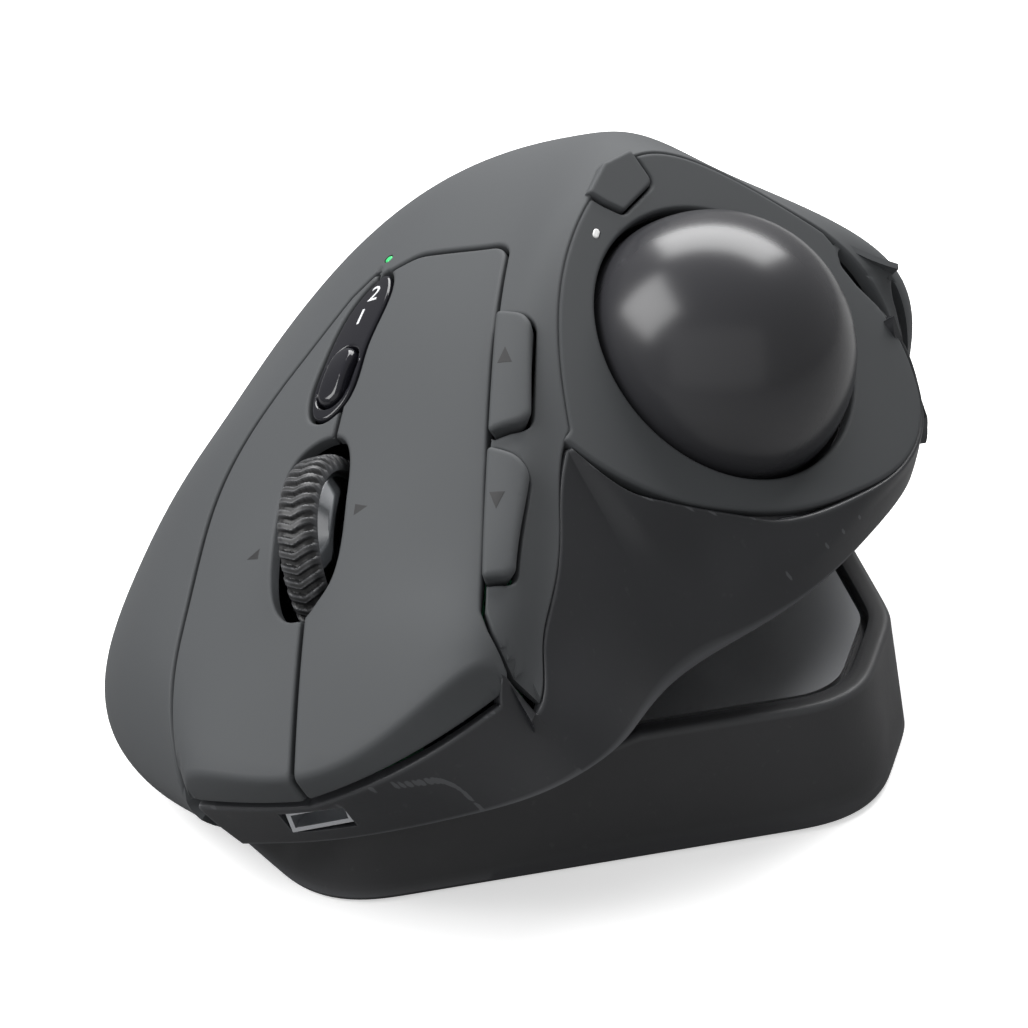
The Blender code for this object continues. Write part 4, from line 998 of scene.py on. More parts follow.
def pocket_sheet():
    """Recess under the wing: a wall down from its outline, then a floor parallel to the deck."""
    path = np.array(POCKET_LIP)
    at = chord_knots(path)
    path = spline(at, path, np.linspace(0, at[-1], 60))
    depths = np.array((-0.35, -1.5, -3.0, -4.2, -4.8, -POCKET_DEPTH))
    inset = np.array((0.0, 0.0, 0.05, 0.25, 0.7, 1.3))
    middle = np.array((11.0, 24.2))
    inward = middle - path
    inward /= np.linalg.norm(inward, axis=1, keepdims=True)
    rings = [deck_place(*(path + inward * i).T, np.full(len(path), d)) for d, i in zip(depths, inset)]
    w, z = deck_rim(-POCKET_DEPTH)
    rim = deck_coordinates(SKIRT_WALL.point(w, z))[:, :2]
    rim = rim[(rim[:, 1] > 20.0) & (rim[:, 1] < 29)]
    far = rim[np.linspace(0, len(rim) - 1, 60).astype(int)] - (0.4, 0)
    start = path + inward * inset[-1]
    for share in np.linspace(0.2, 1, 5):
        ring = start * (1 - share) + far * share
        rings.append(deck_place(*ring.T, np.full(len(path), depths[-1])))
    grid = np.array(rings)
    normal = unit(np.cross(np.gradient(grid, axis=0), np.gradient(grid, axis=1)))
    normal = normal * np.sign(np.sum(normal[-2, 30] * DECK_NORMAL))
    faces = halved(ribbon(grid)[1][0])
    flat, normal = grid.reshape(-1, 3), normal.reshape(-1, 3)
    return walled(flat, flat - normal * 0.8, faces, normal)


def revolve(profile, centre, steps, radius_at=None):
    """Closed profile of (x, radius) turned about the x axis through centre."""
    angle = np.linspace(0, 2 * math.pi, steps, endpoint=False)
    x = np.broadcast_to(profile[:, 0], (steps, len(profile)))
    radius = np.broadcast_to(profile[:, 1], x.shape)
    if radius_at is not None:
        radius = radius + radius_at(angle[:, None], x, radius)
    grid = np.stack((x, radius * np.cos(angle)[:, None], radius * np.sin(angle)[:, None]), axis=2) + centre
    return ribbon(grid, True, True)


def tyre_shape(radius, width, ribs, depth):
    """Tread: a rounded band whose chevron grooves are smooth pulses of turn plus |x|."""
    half = width / 2
    t = np.linspace(-1, 1, 31)
    tread = np.stack((t * half, radius - 1.5 * np.abs(t) ** 5.0), axis=1)
    tread = tread[1:-1]
    inner = radius - 2.1
    flank = np.array(((half, radius - 1.9), (half * 0.98, inner)))
    profile = np.concatenate((tread, flank, flank[::-1] * (-1, 1)))

    def groove(angle, x, base):
        phase = (ribs * angle / (2 * math.pi) + 0.55 * np.abs(x) / half) % 1.0
        dip = np.clip((np.cos(2 * math.pi * phase) + 0.15) / 0.55, 0, 1)
        on_tread = np.clip((base - (radius - 1.5)) / 0.9, 0, 1)
        return -depth * eased(dip) * on_tread

    return revolve(profile, WHEEL_CENTRE, ribs * 12, groove)


def hub_shape():
    """Hub: a polished disc whose faces stand out behind a wide chamfer."""
    half = HUB_WIDTH / 2
    right = np.array(HUB_FACE) + (half, 0)
    profile = np.concatenate((right, right[::-1] * (-1, 1)))
    return revolve(profile, WHEEL_CENTRE, 128)


def ball_shape():
    """Sphere by longitude and latitude about the body's own upright."""
    turn = np.linspace(0, 2 * math.pi, 160, endpoint=False)
    rise = np.linspace(-math.pi / 2, math.pi / 2, 81)
    grid = np.stack((np.outer(np.cos(rise), np.cos(turn)), np.outer(np.cos(rise), np.sin(turn)),
                     np.repeat(np.sin(rise)[:, None], 160, axis=1)), axis=2)
    return ribbon(grid * BALL_RADIUS + BALL_CENTRE, False, True)


def base_top(xy):
    """Top of the base before its borders round: flat, sloped on the finger side, lower at the front."""
    x, y = xy[..., 0], xy[..., 1]
    lean = HINGE_Z - math.tan(TILT) * (HINGE_X - 2.0 - x)
    rim = np.interp(x, (-45, -10.7, 2.4, 19), (7.5, 8.6, 9.8, 15.7))
    front = np.clip((-y - 21.0) / 2.0, 0, 1)
    rim = np.where(front > 0, rim + (1 - front) * 9, 99.0)
    return np.minimum(np.minimum(lean, HINGE_Z), rim)


def base_shape(edge, well):
    """Base: profile of (inset, drop) carried round the outline, its top read at every place."""
    outline = smooth_ring(dense(rounded(BASE_OUTLINE, 10), 0.8))
    turn = np.linspace(0, math.pi / 2, 7)
    bevel = [(BASE_DRAFT + edge * (1 - math.cos(a)), edge * (1 - math.sin(a))) for a in turn]
    groove = BASE_DRAFT + well
    top = [(BASE_DRAFT + edge + 0.4, 0.0), (groove - 0.9, 0.0), (groove - 0.3, 0.0), (groove - 0.1, 0.07)]
    top += [(groove, 0.3)] + [(groove + further, WELL_DEPTH) for further in (0, 1.2, 6, 14, 26)]
    rows = [(4.4, 0.0), (0.7, 0.0), (0.25, 0.12), (0.0, 0.55)]
    grid = [np.column_stack((grown(outline, -inset), np.full(len(outline), 0.3 + z))) for inset, z in rows]
    heights = base_top(grown(outline, -BASE_DRAFT - edge))
    for share in np.linspace(0.12, 1, BASE_WALL_ROWS + 1)[:-1]:
        ring = grown(outline, -BASE_DRAFT * share)
        grid.append(np.column_stack((ring, 0.85 + (heights - edge - 0.85) * share)))
    for inset, drop in bevel + top:
        ring = shrunk(outline, inset)
        height = base_top(ring) if inset > BASE_DRAFT + edge else heights
        grid.append(np.column_stack((ring, height - drop)))
    grid = np.array(grid)
    first = len(rows) + BASE_WALL_ROWS
    grid[first: first + len(bevel), :, 2] = heights - np.array([drop for _, drop in bevel])[:, None]
    points, faces = ribbon(grid, False, True)
    count = len(outline)
    bottom = grid[0].mean(axis=0, keepdims=True)
    lid = grid[-1].mean(axis=0, keepdims=True)
    lid[0, 2] = base_top(lid[:, :2])[0] - WELL_DEPTH
    ids = np.arange(count)
    last = (len(grid) - 1) * count
    size = len(points)
    fans = np.concatenate((np.stack((ids, np.roll(ids, -1), np.full(count, size)), axis=1),
                           np.stack((last + ids, last + np.roll(ids, -1), np.full(count, size + 1)), axis=1)))
    return np.concatenate((points, bottom, lid)), [*faces, fans]


def smooth_ring(points, rounds=12):
    """Closed ring with its corners eased by repeated averaging."""
    for _ in range(rounds):
        points = (np.roll(points, 1, axis=0) + 2 * points + np.roll(points, -1, axis=0)) / 4
    return points


def shrunk(outline, inset):
    """Outline moved inwards; past a small inset it also draws in towards the middle."""
    near = min(inset, 8.0)
    ring = grown(outline, -near)
    middle = np.array((3.0, 0.0))
    return middle + (ring - middle) * (1 - (inset - near) / 45.0)


def group_of(name, inputs, outputs):
    """Empty shader group with its sockets; returns it with its two ends."""
    group = bpy.data.node_groups.new(name, "ShaderNodeTree")
    for label, kind, value in inputs:
        socket = group.interface.new_socket(name=label, in_out="INPUT", socket_type=kind)
        if value is not None:
            socket.default_value = value
    for label, kind in outputs:
        group.interface.new_socket(name=label, in_out="OUTPUT", socket_type=kind)
    return group, group.nodes.new("NodeGroupInput"), group.nodes.new("NodeGroupOutput")


def join(tree, kind, values=(), links=(), **settings):
    """New node with its settings, socket values and incoming links."""
    node = tree.nodes.new(kind)
    for key, value in settings.items():
        setattr(node, key, value)
    for key, value in values:
        node.inputs[key].default_value = value
    for key, source in links:
        tree.links.new(source, node.inputs[key])
    return node


def object_place(tree):
    return join(tree, "ShaderNodeTexCoord").outputs["Object"]


def noise(tree, place, **values):
    """Noise at a place; each keyword is a socket's name and value."""
    return join(tree, "ShaderNodeTexNoise", tuple(values.items()), (("Vector", place),)).outputs["Fac"]


def remapped(tree, source, span=(0.0, 1.0), out=(0.0, 1.0)):
    """Socket's value carried from one span to another."""
    ends = (("From Min", span[0]), ("From Max", span[1]), ("To Min", out[0]), ("To Max", out[1]))
    return join(tree, "ShaderNodeMapRange", ends, (("Value", source),)).outputs[0]


def reckoned(tree, operation, first, second):
    """Two sockets joined by one step of arithmetic."""
    return join(tree, "ShaderNodeMath", (), ((0, first), (1, second)), operation=operation).outputs[0]


def toned(tree, colour, by):
    """Colour socket made lighter or darker by a factor."""
    return join(tree, "ShaderNodeVectorMath", (), ((0, colour), ("Scale", by)), operation="SCALE").outputs[0]


def mixed(tree, share, under, over):
    """Colour from under to over by a share; each is a socket or a plain colour."""
    node = join(tree, "ShaderNodeMix", (), ((0, share),), data_type="RGBA")
    for key, colour in ((6, under), (7, over)):
        if isinstance(colour, tuple):
            node.inputs[key].default_value = (*colour, 1.0)
        else:
            tree.links.new(colour, node.inputs[key])
    return node.outputs[2]


def moulded_group():
    """Moulded plastic: spark-eroded grain, slow tone drift, fine dust, and convex edges painted paler, partly
    as rubbing and partly as painted highlight.
    """
    number = "NodeSocketFloat"
    group, start, end = group_of(
        "moulded_grain",
        (("Colour", "NodeSocketColor", None), ("Roughness", number, 0.5), ("Grain size", number, 3000.0),
         ("Grain depth", number, 0.25), ("Edge wear", number, 0.3), ("Dust", number, 0.02)),
        (("Colour", "NodeSocketColor"), ("Roughness", number), ("Height", number)))
    place = object_place(group)
    grain = join(group, "ShaderNodeTexNoise", (("Detail", 3.0), ("Roughness", 0.6)),
                 (("Vector", place), ("Scale", start.outputs["Grain size"])))
    drift = noise(group, place, Scale=38.0, Detail=2.0)
    smear = noise(group, place, Scale=140.0, Detail=4.0, Distortion=0.6)
    fleck = noise(group, place, Scale=900.0, Detail=2.0)
    # Convex edges turn paler by pointiness: partly rubbing, partly a painted highlight standing in for light on
    # the rolled edges.
    edge = remapped(group, join(group, "ShaderNodeNewGeometry").outputs["Pointiness"], (0.505, 0.56))
    rubbed_and_lit = reckoned(group, "MULTIPLY", edge, start.outputs["Edge wear"])
    body = toned(group, start.outputs["Colour"], remapped(group, drift, out=(0.9, 1.1)))
    pale = mixed(group, rubbed_and_lit, body, WORN_EDGE_AND_HIGHLIGHT)
    dust = reckoned(group, "MULTIPLY", remapped(group, fleck, (0.68, 0.8)), start.outputs["Dust"])
    group.links.new(mixed(group, dust, pale, DUST), end.inputs["Colour"])
    patch = remapped(group, smear, out=(-0.07, 0.07))
    group.links.new(reckoned(group, "ADD", start.outputs["Roughness"], patch), end.inputs["Roughness"])
    depth = reckoned(group, "MULTIPLY", grain.outputs["Fac"], start.outputs["Grain depth"])
    group.links.new(depth, end.inputs["Height"])


def scratch_group():
    """Worked metal: lines drawn out along one axis for roughness, height and tone."""
    number = "NodeSocketFloat"
    group, start, end = group_of(
        "drawn_lines",
        (("Stretch", "NodeSocketVector", None), ("Colour", "NodeSocketColor", None),
         ("Roughness", number, 0.3), ("Amount", number, 0.1)),
        (("Colour", "NodeSocketColor"), ("Roughness", number), ("Height", number)))
    drawn = join(group, "ShaderNodeVectorMath", (), ((0, object_place(group)), (1, start.outputs["Stretch"])),
                 operation="MULTIPLY").outputs[0]
    lines = noise(group, drawn, Scale=1.0, Detail=5.0)
    part = reckoned(group, "MULTIPLY", remapped(group, lines, out=(-1.0, 1.0)), start.outputs["Amount"])
    tone = toned(group, start.outputs["Colour"], remapped(group, lines, out=(0.88, 1.08)))
    group.links.new(tone, end.inputs["Colour"])
    group.links.new(reckoned(group, "ADD", part, start.outputs["Roughness"]), end.inputs["Roughness"])
    group.links.new(part, end.inputs["Height"])


def blank_material(name):
    """New material's node tree and shader."""
    made = bpy.data.materials.new(name)
    made.use_nodes = True
    return made.node_tree, made.node_tree.nodes["Principled BSDF"]


def bumped(tree, shader, height, strength, distance):
    """Height socket turned into the shader's normal; distance is in metres."""
    bump = join(tree, "ShaderNodeBump", (("Strength", strength), ("Distance", distance)), (("Height", height),))
    tree.links.new(bump.outputs["Normal"], shader.inputs["Normal"])


def grouped(tree, shader, group, values):
    """Group node with its values set, linked to the shader's colour and roughness."""
    node = tree.nodes.new("ShaderNodeGroup")
    node.node_tree = bpy.data.node_groups[group]
    for key, value in values.items():
        node.inputs[key].default_value = value
    tree.links.new(node.outputs["Colour"], shader.inputs["Base Color"])
    tree.links.new(node.outputs["Roughness"], shader.inputs["Roughness"])
    return node.outputs["Height"]


def moulded(name, colour, roughness, size=3000.0, depth=0.25, wear_and_sheen=0.3, dust=0.02, coat=0.0):
    """Plastic, rubber or paint with a moulded grain; size is in grains to the metre."""
    tree, shader = blank_material(name)
    height = grouped(tree, shader, "moulded_grain", {
        "Colour": (*colour, 1.0), "Roughness": roughness, "Grain size": size, "Grain depth": depth,
        "Edge wear": wear_and_sheen, "Dust": dust})
    bumped(tree, shader, height, 0.6, 0.00006)
    shader.inputs["Coat Weight"].default_value = coat
    shader.inputs["Coat Roughness"].default_value = 0.08


def metal(name, colour, roughness, stretch, amount):
    """Bare metal with drawn lines; stretch is the lines' scale along each axis."""
    tree, shader = blank_material(name)
    height = grouped(tree, shader, "drawn_lines", {
        "Colour": (*colour, 1.0), "Roughness": roughness, "Stretch": stretch, "Amount": amount})
    bumped(tree, shader, height, 0.3, 0.00003)
    shader.inputs["Metallic"].default_value = 1.0


def ball_material(colour):
    """Ball resin: mica flecks of two sizes held under a clear gloss."""
    tree, shader = blank_material("ball_resin")
    place = object_place(tree)
    masks = []
    for scale, reach, rare in FLECKS:
        cells = join(tree, "ShaderNodeTexVoronoi", (("Scale", scale),), (("Vector", place),))
        dot = remapped(tree, cells.outputs["Distance"], (reach, reach * 0.3))
        chance = join(tree, "ShaderNodeSeparateColor", (), (("Color", cells.outputs["Color"]),))
        lit = remapped(tree, chance.outputs[0], (rare, 1.0))
        masks.append(reckoned(tree, "MULTIPLY", dot, lit))
    both = reckoned(tree, "MAXIMUM", *masks)
    cloud = noise(tree, place, Scale=60.0, Detail=3.0)
    body = mixed(tree, cloud, *(tuple(c * k for c in colour) for k in (0.8, 1.25)))
    tree.links.new(mixed(tree, both, body, MICA), shader.inputs["Base Color"])
    tree.links.new(remapped(tree, cloud, out=(0.16, 0.24)), shader.inputs["Roughness"])
    shader.inputs["Coat Weight"].default_value = 1.0
    shader.inputs["Coat Roughness"].default_value = 0.03


def board_material():
    """Circuit board: solder mask over tracks laid out as offset bricks, with drill dots."""
    tree, shader = blank_material("circuit_board")
    place = object_place(tree)
    mask = (("Scale", 260.0), ("Mortar Size", 0.06), ("Color1", (0.01, 0.07, 0.03, 1)),
            ("Color2", (0.014, 0.085, 0.04, 1)), ("Mortar", (0.05, 0.2, 0.08, 1)))
    tracks = join(tree, "ShaderNodeTexBrick", mask, (("Vector", place),))
    holes = join(tree, "ShaderNodeTexVoronoi", (("Scale", 320.0),), (("Vector", place),))
    dots = remapped(tree, holes.outputs["Distance"], (0.16, 0.12))
    tree.links.new(mixed(tree, dots, tracks.outputs["Color"], COPPER), shader.inputs["Base Color"])
    shader.inputs["Roughness"].default_value = 0.35
    bumped(tree, shader, tracks.outputs["Fac"], 0.2, 0.00005)


def glow(name, colour, strength):
    """Light pipe: milky lens, brighter where a slow noise says so."""
    tree, shader = blank_material(name)
    milk = noise(tree, object_place(tree), Scale=1500.0)
    shade = mixed(tree, milk, tuple(c * 0.8 for c in colour), colour)
    tree.links.new(shade, shader.inputs["Base Color"])
    tree.links.new(shade, shader.inputs["Emission Color"])
    shader.inputs["Emission Strength"].default_value = strength
    shader.inputs["Roughness"].default_value = 0.25


COLOUR = {"subtype": "COLOR", "size": 3, "min": 0.0, "max": 1.0}


class TrackballSizes(bpy.types.PropertyGroup):
    seam: FloatProperty(name="Seam", description="Width of the gap between moulded pieces, in millimetres",
                        default=0.45, min=0.2, max=1.0)
    edge: FloatProperty(name="Edge radius", description="Rounding of the moulded edges, in millimetres",
                        default=0.42, min=0.1, max=1.0)
    wall: FloatProperty(name="Wall", description="Thickness of the moulded shells, in millimetres",
                        default=1.6, min=0.8, max=2.4)
    key_lift: FloatProperty(name="Key lift", default=1.35, min=0.2, max=2.0,
                            description="How far the two thumb keys stand proud, in millimetres")
    ribs: IntProperty(name="Tyre ribs", description="Chevrons round the scroll wheel's tyre",
                      default=44, min=12, max=90)
    groove: FloatProperty(name="Tyre groove", description="Depth of the tyre's grooves, in millimetres",
                          default=0.6, min=0.1, max=1.2)
    base_edge: FloatProperty(name="Base edge radius", default=0.9, min=0.2, max=1.5,
                             description="Rounding of the base's top edge, in millimetres")


class TrackballFinish(bpy.types.PropertyGroup):
    shell: FloatVectorProperty(name="Shell", description="Graphite plastic of the body", **COLOUR,
                               default=(0.082, 0.084, 0.09))
    shell_roughness: FloatProperty(name="Shell roughness", description="Roughness of the body's plastic",
                                   subtype="FACTOR", default=0.42, min=0.0, max=1.0)
    # Side colour: far darker than the body's plastic, as painted shade on the shadowed thumb side and chin.
    side: FloatVectorProperty(name="Side", description="Darker plastic of the side shell", **COLOUR,
                              default=(0.02, 0.021, 0.024))
    base: FloatVectorProperty(name="Base", description="Soft black plastic of the base", **COLOUR,
                              default=(0.026, 0.0265, 0.029))
    ball: FloatVectorProperty(name="Ball", description="Resin of the ball", **COLOUR,
                              default=(0.05, 0.052, 0.055))


def sizes():
    return bpy.context.scene.trackball_sizes


def finish():
    return bpy.context.scene.trackball_finish


class MakeFinishes(bpy.types.Operator):
    """Materials of every piece, and new finishes on the CAD pieces that stay"""

    bl_idname = "trackball.finishes"
    bl_label = "Finishes"

    def execute(self, context):
        moulded_group()
        scratch_group()
        look = finish()
        moulded("graphite_shell", look.shell, look.shell_roughness, 2600.0, 0.3, 0.25)
        # Side shell plastic darkened as painted shade for its shadowed faces.
        moulded("side_plastic_painted_shade", look.side, 0.42, 2600.0, 0.25, 0.15)
        moulded("base_plastic", look.base, 0.5, 3200.0, 0.35, 0.15)
        moulded("inner_plastic", (0.03, 0.03, 0.033), 0.55, 2400.0, 0.3, 0.1)
        moulded("gloss_black", (0.012, 0.012, 0.014), 0.16, 800.0, 0.03, 0.1, 0.01, 0.6)
        moulded("tyre_rubber", (0.016, 0.016, 0.017), 0.45, 4200.0, 0.35, 0.25, 0.05)
        moulded("black_rubber", (0.02, 0.02, 0.022), 0.75, 1800.0, 0.6, 0.2, 0.06)
        moulded("key_mark", (0.009, 0.009, 0.01), 0.6, 3000.0, 0.1, 0.0)
        moulded("white_mark", (0.75, 0.76, 0.78), 0.5, 3000.0, 0.1, 0.0)
        moulded("white_acetal", (0.72, 0.72, 0.7), 0.38, 1500.0, 0.2, 0.0)
        moulded("bearing_ceramic", (0.8, 0.79, 0.76), 0.14, 900.0, 0.02, 0.0)
        metal("satin_steel", (0.66, 0.67, 0.69), 0.42, (60.0, 2600.0, 2600.0), 0.12)
        metal("bright_chrome", (0.72, 0.73, 0.76), 0.1, (400.0, 400.0, 400.0), 0.04)
        metal("battery_foil", (0.5, 0.51, 0.53), 0.42, (90.0, 900.0, 90.0), 0.15)
        ball_material(look.ball)
        board_material()
        glow("green_light", (0.03, 0.7, 0.12), 0.7)
        glow("white_light", (0.9, 0.93, 1.0), 1.2)
        for name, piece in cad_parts.items():
            for slot in piece.material_slots:
                slot.material = bpy.data.materials[NODE_FINISHES.get(name, "inner_plastic")]
        return {"FINISHED"}


NODE_FINISHES = {
    "bottom_shell": "side_plastic_painted_shade",
    "foot_pad": "black_rubber", "flat_rest_plate": "satin_steel", "tilted_rest_plate": "satin_steel",
    "hinge_pin": "satin_steel", "bearing_front": "bearing_ceramic", "bearing_rear": "bearing_ceramic",
    "bearing_outer": "bearing_ceramic", "optical_sensor": "gloss_black", "main_board": "circuit_board",
    "battery": "battery_foil", "charging_socket": "satin_steel", "left_switch": "gloss_black",
    "right_switch": "gloss_black", "middle_switch": "gloss_black", "wheel_encoder": "gloss_black",
    "magnet_thumb_side": "satin_steel", "magnet_finger_side": "satin_steel",
    "screw_front_left": "satin_steel", "screw_rear_left": "satin_steel",
    "screw_rear_right": "satin_steel", "screw_front_right": "satin_steel",
    "click_plate": "white_acetal", "wheel_axle": "satin_steel", "power_switch": "black_rubber",
    "status_led": "green_light", "ball_led": "white_light",
}


class MakeShells(bpy.types.Operator):
    """Palm shell, side shell and ball deck"""

    bl_idname = "trackball.shells"
    bl_label = "Shells"

    def execute(self, context):
        size = sizes()
        palm = mesh_piece("palm_shell_skin", [palm_sheet(size.seam, size.edge, size.wall), pocket_sheet()])
        settle(palm, "chassis", "graphite_shell", "graphite_shell", "palm_shell")
        side = mesh_piece("side_shell_skin", [side_sheet(size.edge, size.wall)])
        cut_through(side, *SOCKET_WAY)
        settle(side, "chassis", "side_plastic_painted_shade", "graphite_shell", "side_shell")
        outline = deck_outline()
        across = 2 * (BALL_RADIUS + BALL_CLEARANCE)
        opening = obround((0, 0), (across, across), 0, 60)
        key = dense(grown(rounded(DECK_BUTTON), 0.25), 0.3)
        led = obround(DECK_LED, (1.0, 1.5), 15)
        pocket = dense(rounded(WING_POCKET), 0.4)
        holes, soft = (opening, key, led, pocket), (outline, opening, key, pocket)
        deck = mesh_piece("ball_deck_skin", [sheet(DeckPlane(-0.08), outline, holes, soft, (), 0.5, 1.6, 1.3)])
        settle(deck, "chassis", "graphite_shell", "graphite_shell", "ball_deck")
        return {"FINISHED"}


class MakeButtons(bpy.types.Operator):
    """Finger buttons, thumb keys, mode strip and button, and the deck key"""

    bl_idname = "trackball.buttons"
    bl_label = "Buttons"

    def execute(self, context):
        size = sizes()
        for name in ("left_button", "right_button"):
            made = mesh_piece(f"{name}_cap", [button_sheet(name, size.seam, size.edge, size.wall)])
            settle(made, name, "graphite_shell", "graphite_shell", name)
        for name, corners in KEYS.items():
            outline = dense(rounded(corners), 0.35)
            made = mesh_piece(f"{name}_cap", [thin_pad(RaisedCrown(size.key_lift), outline, 0.6, 3.4)])
            settle(made, name, "graphite_shell", "graphite_shell", name)
        hole = obround(MODE_BUTTON[0], np.array(MODE_BUTTON[1]) + 0.7, MODE_BUTTON[2])
        outline = strip_outline(-size.seam / 2)
        skin = sheet(RaisedCrown(-0.1), outline, (hole,), (outline, hole), (), 0.35, 1.5, 0.7)
        strip = mesh_piece("mode_strip_cap", [skin])
        settle(strip, "chassis", "gloss_black", "gloss_black", "mode_strip")
        outline = obround(*MODE_BUTTON)
        dome = RaisedCrown(0.25, 0.55, MODE_BUTTON[0], 4.2)
        made = mesh_piece("mode_button_cap", [thin_pad(dome, dense(outline, 0.35), 0.6, 2.4, 0.45)])
        settle(made, "mode_button", "gloss_black", "gloss_black", "mode_button")
        outline = dense(rounded(DECK_BUTTON), 0.3)
        made = mesh_piece("precision_button_cap", [thin_pad(DeckPlane(0.3), outline, 0.45, 2.6)])
        settle(made, "precision_button", "graphite_shell", "graphite_shell", "precision_button")
        return {"FINISHED"}


def triangle(centre, width, length, turn=0.0):
    """Arrow mark with its tip along +y before the turn."""
    points = np.array(((-width / 2, -length / 2), (width / 2, -length / 2), (0, length / 2)))
    return dense(turned(points, turn) + centre, 0.25)


def numeral(name, text, centre, height, turn):
    """Printed numeral: flat letter bent on to the crown, with the thinnest of bodies."""
    curve = bpy.data.curves.new(name, "FONT")
    curve.body = text
    curve.size = height
    curve.extrude = 0.5
    curve.align_x = "CENTER"
    curve.align_y = "CENTER"
    source = bpy.data.objects.new(name, curve)
    bpy.context.scene.collection.objects.link(source)
    mesh = bpy.data.meshes.new_from_object(source.evaluated_get(bpy.context.evaluated_depsgraph_get()))
    bpy.data.objects.remove(source, do_unlink=True)
    flat = np.empty(len(mesh.vertices) * 3)
    mesh.vertices.foreach_get("co", flat)
    flat = flat.reshape(-1, 3)
    faces = [tuple(p.vertices) for p in mesh.polygons]
    bpy.data.meshes.remove(mesh)
    plan = turned(flat[:, :2], turn) + centre
    crown = RaisedCrown()
    points = crown.point(plan) + crown.normal(plan) * np.where(flat[:, 2:] > 0, -0.05, -0.16)
    made = bpy.data.meshes.new(name)
    made.from_pydata(to_world(points), [], faces)
    work = bmesh.new()
    work.from_mesh(made)
    bmesh.ops.remove_doubles(work, verts=work.verts, dist=1e-6)
    bmesh.ops.recalc_face_normals(work, faces=work.faces)
    work.to_mesh(made)
    work.free()
    piece = bpy.data.objects.new(name, made)
    bpy.context.scene.collection.objects.link(piece)
    return piece


class MakeMarks(bpy.types.Operator):
    """Arrows on keys and buttons, numerals and lights"""

    bl_idname = "trackball.marks"
    bl_label = "Marks and lights"

    def execute(self, context):
        lift = sizes().key_lift
        arrows = (("forward_arrow", "forward_button", (11.3, -14.6), (1.6, 1.9), 0, lift + 0.02),
                  ("back_arrow", "back_button", (11.2, -31.2), (1.6, 1.9), 180, lift + 0.02),
                  ("tilt_left_arrow", "right_button", (-21.0, -29.0), (1.5, 1.7), 90, 0.02),
                  ("tilt_right_arrow", "left_button", (-6.4, -28.0), (1.5, 1.7), -90, 0.02))
        for name, body, centre, extent, turn, rise in arrows:
            outline = triangle(centre, *extent, turn)
            mark = mesh_piece(name, [thin_pad(RaisedCrown(rise), outline, 0.015, 0.12, 0.4)])
            settle(mark, body, "key_mark", "gloss_black")
        for text, centre in (("1", (-11.1, 0.5)), ("2", (-9.7, 3.6))):
            mark = numeral(f"numeral_{text}", text, centre, 3.2, -14)
            settle(mark, "chassis", "white_mark", "white_acetal")
        dome = RaisedCrown(-0.1, 0.15, STATUS_LED, 0.6)
        lens = obround(STATUS_LED, (1.05, 1.05))
        status = mesh_piece("status_lens", [thin_pad(dome, lens, 0.12, 1.4, 0.3)])
        settle(status, "chassis", "green_light", "green_light", "status_led")
        lens = obround(DECK_LED, (0.85, 1.35), 15)
        light = mesh_piece("ball_light_lens", [thin_pad(DeckPlane(0.0), lens, 0.15, 1.4, 0.3)])
        settle(light, "chassis", "white_light", "white_light", "ball_led")
        return {"FINISHED"}


class MakeBallAndWheel(bpy.types.Operator):
    """Ball, tyre and hub"""

    bl_idname = "trackball.ball_and_wheel"
    bl_label = "Ball and wheel"

    def execute(self, context):
        size = sizes()
        settle(mesh_piece("ball_sphere", [ball_shape()]), "ball", "ball_resin", "ball_resin", "ball")
        tread = tyre_shape(WHEEL_RADIUS, WHEEL_WIDTH, size.ribs, size.groove)
        tyre = mesh_piece("tyre_tread", [tread], sharp=50)
        settle(tyre, "wheel", "tyre_rubber", "black_rubber", "wheel_tyre")
        settle(mesh_piece("hub_disc", [hub_shape()]), "wheel", "bright_chrome", "bright_chrome", "wheel_hub")
        return {"FINISHED"}


class MakeBase(bpy.types.Operator):
    """Wedge base with its rounded rim and the well of its rest plates"""

    bl_idname = "trackball.base"
    bl_label = "Base"

    def execute(self, context):
        base = mesh_piece("base_body", [base_shape(sizes().base_edge, 2.8)], world=True, sharp=45)
        settle(base, "base", "base_plastic", "black_rubber", "base_wedge")
        return {"FINISHED"}


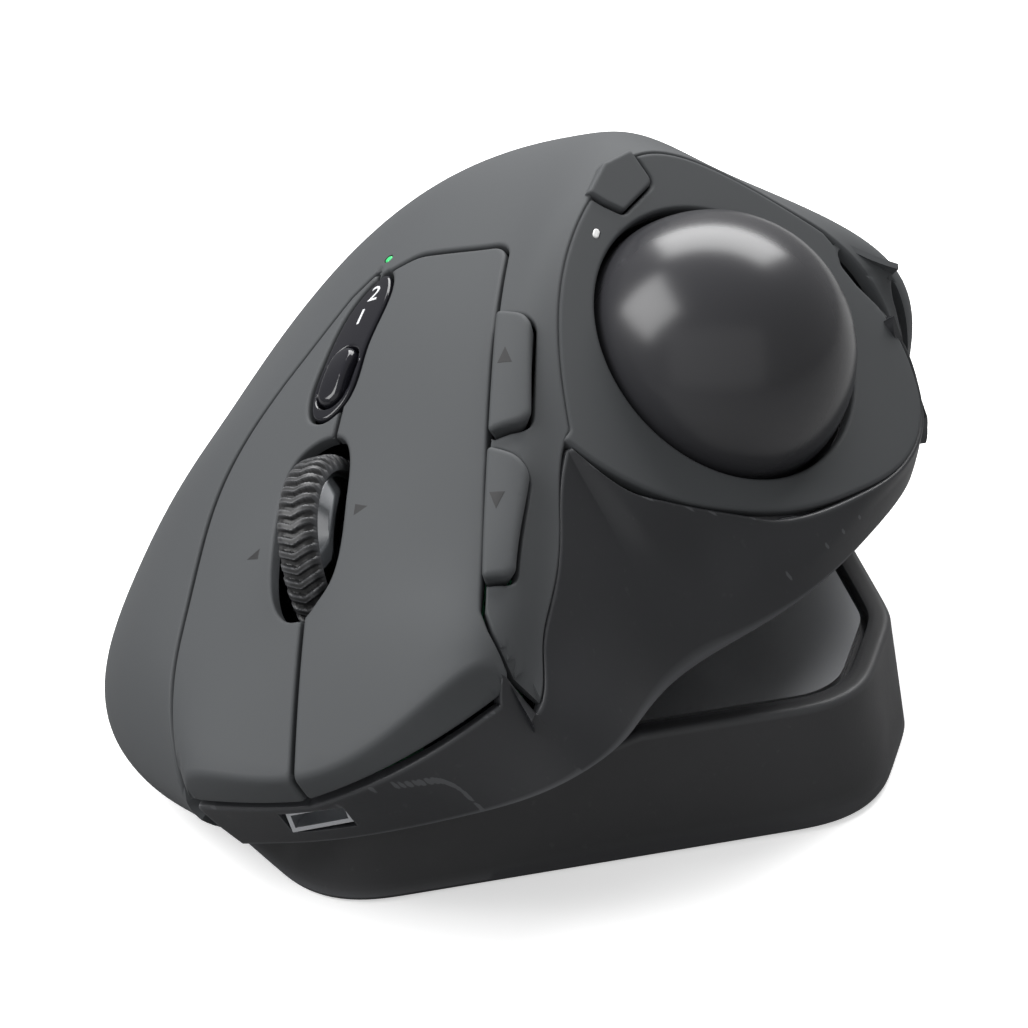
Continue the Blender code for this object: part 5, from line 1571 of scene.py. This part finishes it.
class MakeStage(bpy.types.Operator):
    """Floor, soft lights and camera"""

    bl_idname = "trackball.stage"
    bl_label = "Stage"

    def execute(self, context):
        scene = context.scene
        floor = bpy.data.meshes.new("floor")
        corners = ((-FLOOR_REACH, -FLOOR_REACH), (FLOOR_REACH, -FLOOR_REACH),
                   (FLOOR_REACH, FLOOR_REACH), (-FLOOR_REACH, FLOOR_REACH))
        floor.from_pydata([(*corner, 0) for corner in corners], [], [(0, 1, 2, 3)])
        ground = bpy.data.objects.new("floor", floor)
        scene.collection.objects.link(ground)
        tree, shader = blank_material("pale_floor")
        shader.inputs["Base Color"].default_value = (0.3, 0.3, 0.3, 1)
        shader.inputs["Roughness"].default_value = 0.9
        pale = join(tree, "ShaderNodeBsdfDiffuse", (("Color", (0.95, 0.95, 0.95, 1)),))
        lifted = join(tree, "ShaderNodeEmission", (("Strength", 0.5),))
        both = join(tree, "ShaderNodeAddShader", (), ((0, pale.outputs[0]), (1, lifted.outputs[0])))
        seen = join(tree, "ShaderNodeLightPath").outputs["Is Camera Ray"]
        ends = ((0, seen), (1, shader.outputs[0]), (2, both.outputs[0]))
        shared = join(tree, "ShaderNodeMixShader", (), ends)
        tree.links.new(shared.outputs[0], tree.nodes["Material Output"].inputs["Surface"])
        floor.materials.append(bpy.data.materials["pale_floor"])
        world = bpy.data.worlds.new("studio")
        scene.world = world
        world.use_nodes = True
        back = world.node_tree.nodes["Background"]
        back.inputs["Color"].default_value = (1, 1, 1, 1)
        back.inputs["Strength"].default_value = SKY_STRENGTH
        for name, place, width, height, power in SOFTBOXES:
            light = bpy.data.lights.new(name, "AREA")
            light.shape = "RECTANGLE"
            light.size, light.size_y, light.energy = width, height, power
            lamp = bpy.data.objects.new(name, light)
            lamp.location = place
            lamp.rotation_euler = (Vector(LIGHT_FOCUS) - Vector(place)).to_track_quat("-Z", "Y").to_euler()
            scene.collection.objects.link(lamp)
        camera = bpy.data.objects.new("camera", bpy.data.cameras.new("camera"))
        right = Vector((math.cos(CAMERA_AZIMUTH), math.sin(CAMERA_AZIMUTH), 0))
        level = math.cos(CAMERA_RISE)
        away = Vector((right.y * level, -right.x * level, math.sin(CAMERA_RISE)))
        turn = Matrix((right, away.cross(right), away)).transposed().to_4x4()
        camera.matrix_world = Matrix.Translation(Vector(CAMERA_TARGET) + away * CAMERA_DISTANCE) @ turn
        camera.data.sensor_width = CAMERA_SENSOR
        camera.data.lens = CAMERA_SENSOR * CAMERA_DISTANCE / CAMERA_VIEW_WIDTH
        camera.data.clip_start = 0.01
        scene.collection.objects.link(camera)
        scene.camera = camera
        scene.view_settings.view_transform = "Standard"
        return {"FINISHED"}


STEPS = (MakeFinishes, MakeShells, MakeButtons, MakeMarks, MakeBallAndWheel, MakeBase, MakeStage)


class TrackballPanel(bpy.types.Panel):
    bl_idname = "VIEW3D_PT_trackball"
    bl_label = "Trackball Mouse"
    bl_space_type = "VIEW_3D"
    bl_region_type = "UI"
    bl_category = "Trackball"

    def draw(self, context):
        layout = self.layout
        for group in (context.scene.trackball_sizes, context.scene.trackball_finish):
            box = layout.box()
            for key in group.bl_rna.properties.keys():
                if key not in ("rna_type", "name"):
                    box.prop(group, key)
        for step in STEPS:
            layout.operator(step.bl_idname)


CLASSES = (TrackballSizes, TrackballFinish, *STEPS, TrackballPanel)


def register():
    for item in CLASSES:
        bpy.utils.register_class(item)
    bpy.types.Scene.trackball_sizes = PointerProperty(type=TrackballSizes)
    bpy.types.Scene.trackball_finish = PointerProperty(type=TrackballFinish)


def unregister():
    del bpy.types.Scene.trackball_finish
    del bpy.types.Scene.trackball_sizes
    for item in reversed(CLASSES):
        bpy.utils.unregister_class(item)


def main():
    register()
    for step in STEPS:
        area, call = step.bl_idname.split(".")
        getattr(getattr(bpy.ops, area), call)()


if __name__ == "__main__":
    main()
